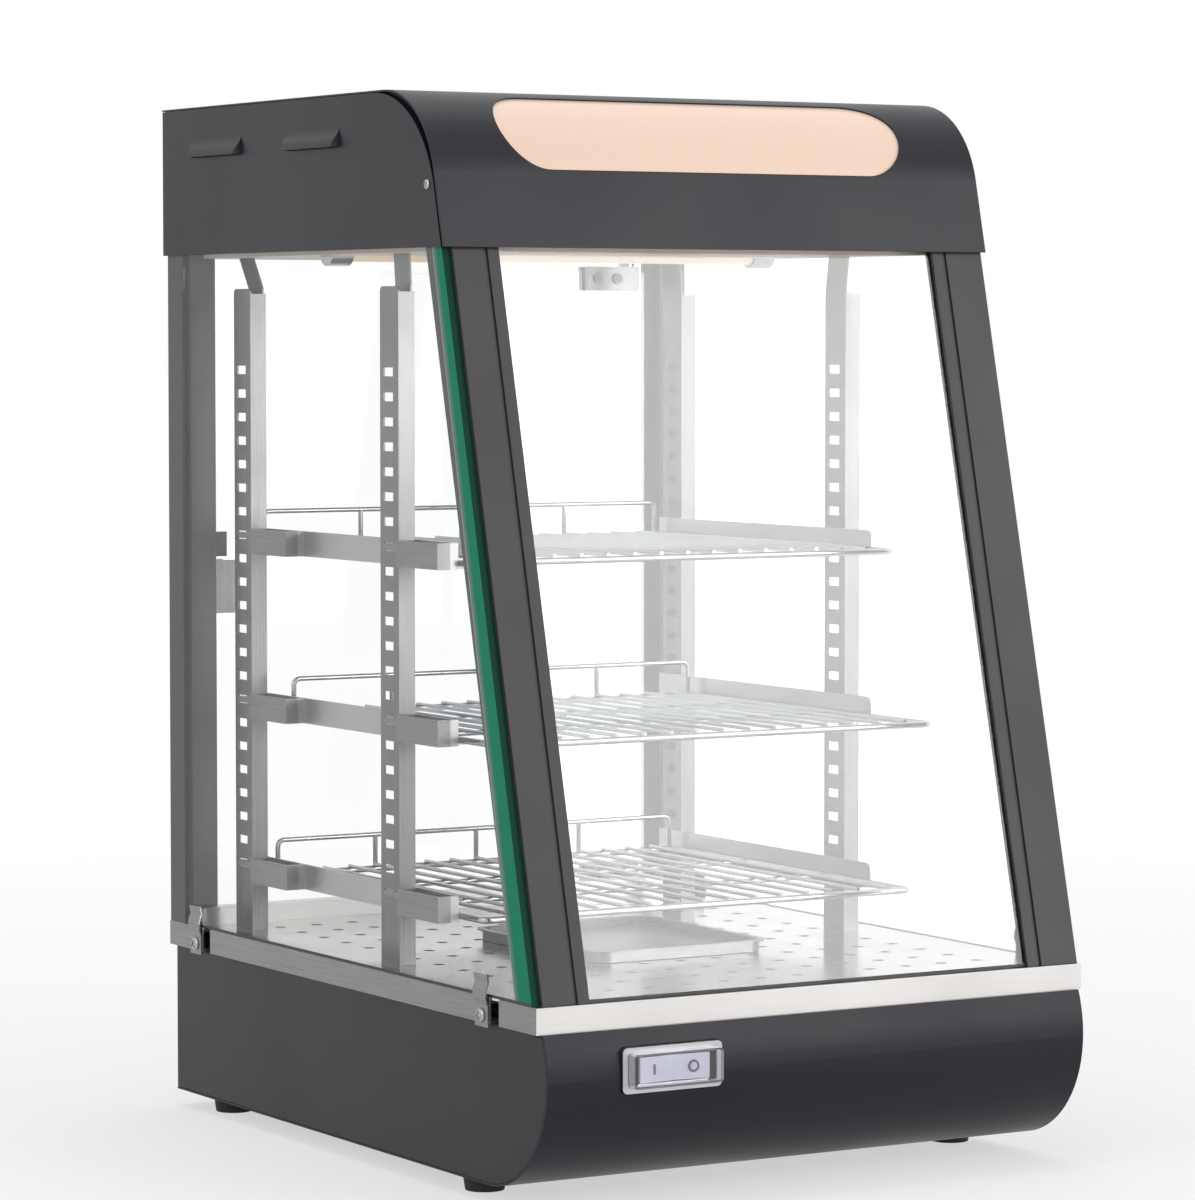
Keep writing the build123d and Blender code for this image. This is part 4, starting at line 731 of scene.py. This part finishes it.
# Black pads at both ends of the rocker, seen through its cover
pad_gap = 0.0006
pad_thick = 0.0004
pad_corner = 0.0008
pad_corner_steps = 3
frame_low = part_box("switch_frame")[0]
cover_low, cover_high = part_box("switch_cover")
rocker_low, rocker_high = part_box("switch_rocker")
for name, start, end in (
    ("switch_pad_left", cover_low.x + pad_gap, rocker_low.x - pad_gap),
    ("switch_pad_right", rocker_high.x + pad_gap, cover_high.x - pad_gap),
):
    bm = bmesh.new()
    bmesh.ops.create_cube(bm, size=1.0)
    size = (end - start, pad_thick, rocker_high.z - rocker_low.z)
    middle = ((start + end) / 2, frame_low.y - pad_thick / 2, (rocker_low.z + rocker_high.z) / 2)
    bmesh.ops.scale(bm, vec=size, verts=bm.verts)
    bmesh.ops.translate(bm, vec=middle, verts=bm.verts)
    corner_edges = [
        edge for edge in bm.edges if abs(edge.verts[0].co.y - edge.verts[1].co.y) > pad_thick / 2
    ]
    bmesh.ops.bevel(
        bm, geom=corner_edges, offset=pad_corner, segments=pad_corner_steps, profile=0.5, affect="EDGES"
    )
    piece_from(bm, name, black_plastic, "case")

# A line and a ring on the two halves of the rocker, each on its tilted face
mark_line = 0.0007
mark_line_steps = 2
mark_ring_steps = 8
mark_half = 0.0028
mark_reach = 0.0125
rocker_middle = (rocker_low + rocker_high) / 2
rocker_half = 0.022
rocker_tilt = 0.0909
line_points = [(0.0, 0.0, -mark_half), (0.0, 0.0, mark_half)]
ring_points = [(mark_half * cos(turn), 0.0, mark_half * sin(turn)) for turn in circle_turns]
for name, side, points, closed in (
    ("mark_on", -1, line_points, False),
    ("mark_off", 1, ring_points, True),
):
    curve = bpy.data.curves.new(name, "CURVE")
    curve.dimensions = "3D"
    curve.bevel_depth = mark_line
    curve.bevel_resolution = mark_line_steps
    curve.resolution_u = mark_ring_steps
    add_spline(curve, points, "AUTO", closed)
    curve.materials.append(mark_paint)
    mark = placed(name, curve)
    mark_x = rocker_middle.x + side * mark_reach
    mark_y = rocker_low.y + (rocker_half - mark_reach) * rocker_tilt
    mark.location = (mark_x, mark_y, rocker_middle.z)
    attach(mark, "switch_rocker")

# Floor: pale, keeps the shadow near the case and fades to white
floor_size = 16.0
shadow_share = 0.42
fade_start = 0.45
fade_end = 1.6
floor_colour = (0.92, 0.92, 0.92, 1.0)
floor_roughness = 0.9
floor_gloss = 0.1
floor_bm = bmesh.new()
bmesh.ops.create_grid(floor_bm, x_segments=1, y_segments=1, size=floor_size)
floor_mesh = mesh_of(floor_bm, "floor")
floor = placed("floor", floor_mesh)
floor_material, floor_tree, floor_shader = new_material("floor")
floor_spot = floor_tree.add("ShaderNodeTexCoord").outputs["Object"]
distance = floor_tree.add("ShaderNodeVectorMath", operation="LENGTH")
floor_tree.link(floor_spot, distance.inputs[0])
far = floor_tree.spread(distance.outputs["Value"], (fade_start, fade_end), (1.0 - shadow_share, 1.0))
floor_tree.feed(
    floor_shader,
    Base_Color=floor_colour,
    Roughness=floor_roughness,
    Specular_IOR_Level=floor_gloss,
)
floor_glow = floor_tree.add("ShaderNodeEmission")
floor_tree.show_mix(floor_tree.math("MULTIPLY", far, floor_tree.seen_directly()), floor_shader, floor_glow)
floor_mesh.materials.append(floor_material)

# World: a white background with a softer light for the object
world_light = 0.55
world = bpy.data.worlds.new("studio")
scene.world = world
world.use_nodes = True
world_tree = Tree(world.node_tree)
world_strength = world_tree.spread(world_tree.seen_directly(), (0.0, 1.0), (world_light, 1.0))
world_tree.feed(world.node_tree.nodes["Background"], Color=white, Strength=world_strength)

# Soft lamps that all face the case: place, width, height and power
lamp_target = Vector((0.0, 0.0, 0.35))
for name, place, width, height, power in (
    ("key", (1.53, -2.36, 0.98), 1.5, 1.8, 34.0),
    ("fill", (-2.6, -0.4, 1.3), 1.6, 1.2, 10.0),
    ("top", (0.0, 0.4, 2.6), 1.2, 1.2, 18.0),
):
    light = bpy.data.lights.new(name, "AREA")
    light.shape = "RECTANGLE"
    light.size = width
    light.size_y = height
    light.energy = power
    lamp = placed(name, light)
    lamp.location = place
    lamp.rotation_euler = (lamp_target - Vector(place)).to_track_quat("-Z", "Y").to_euler()
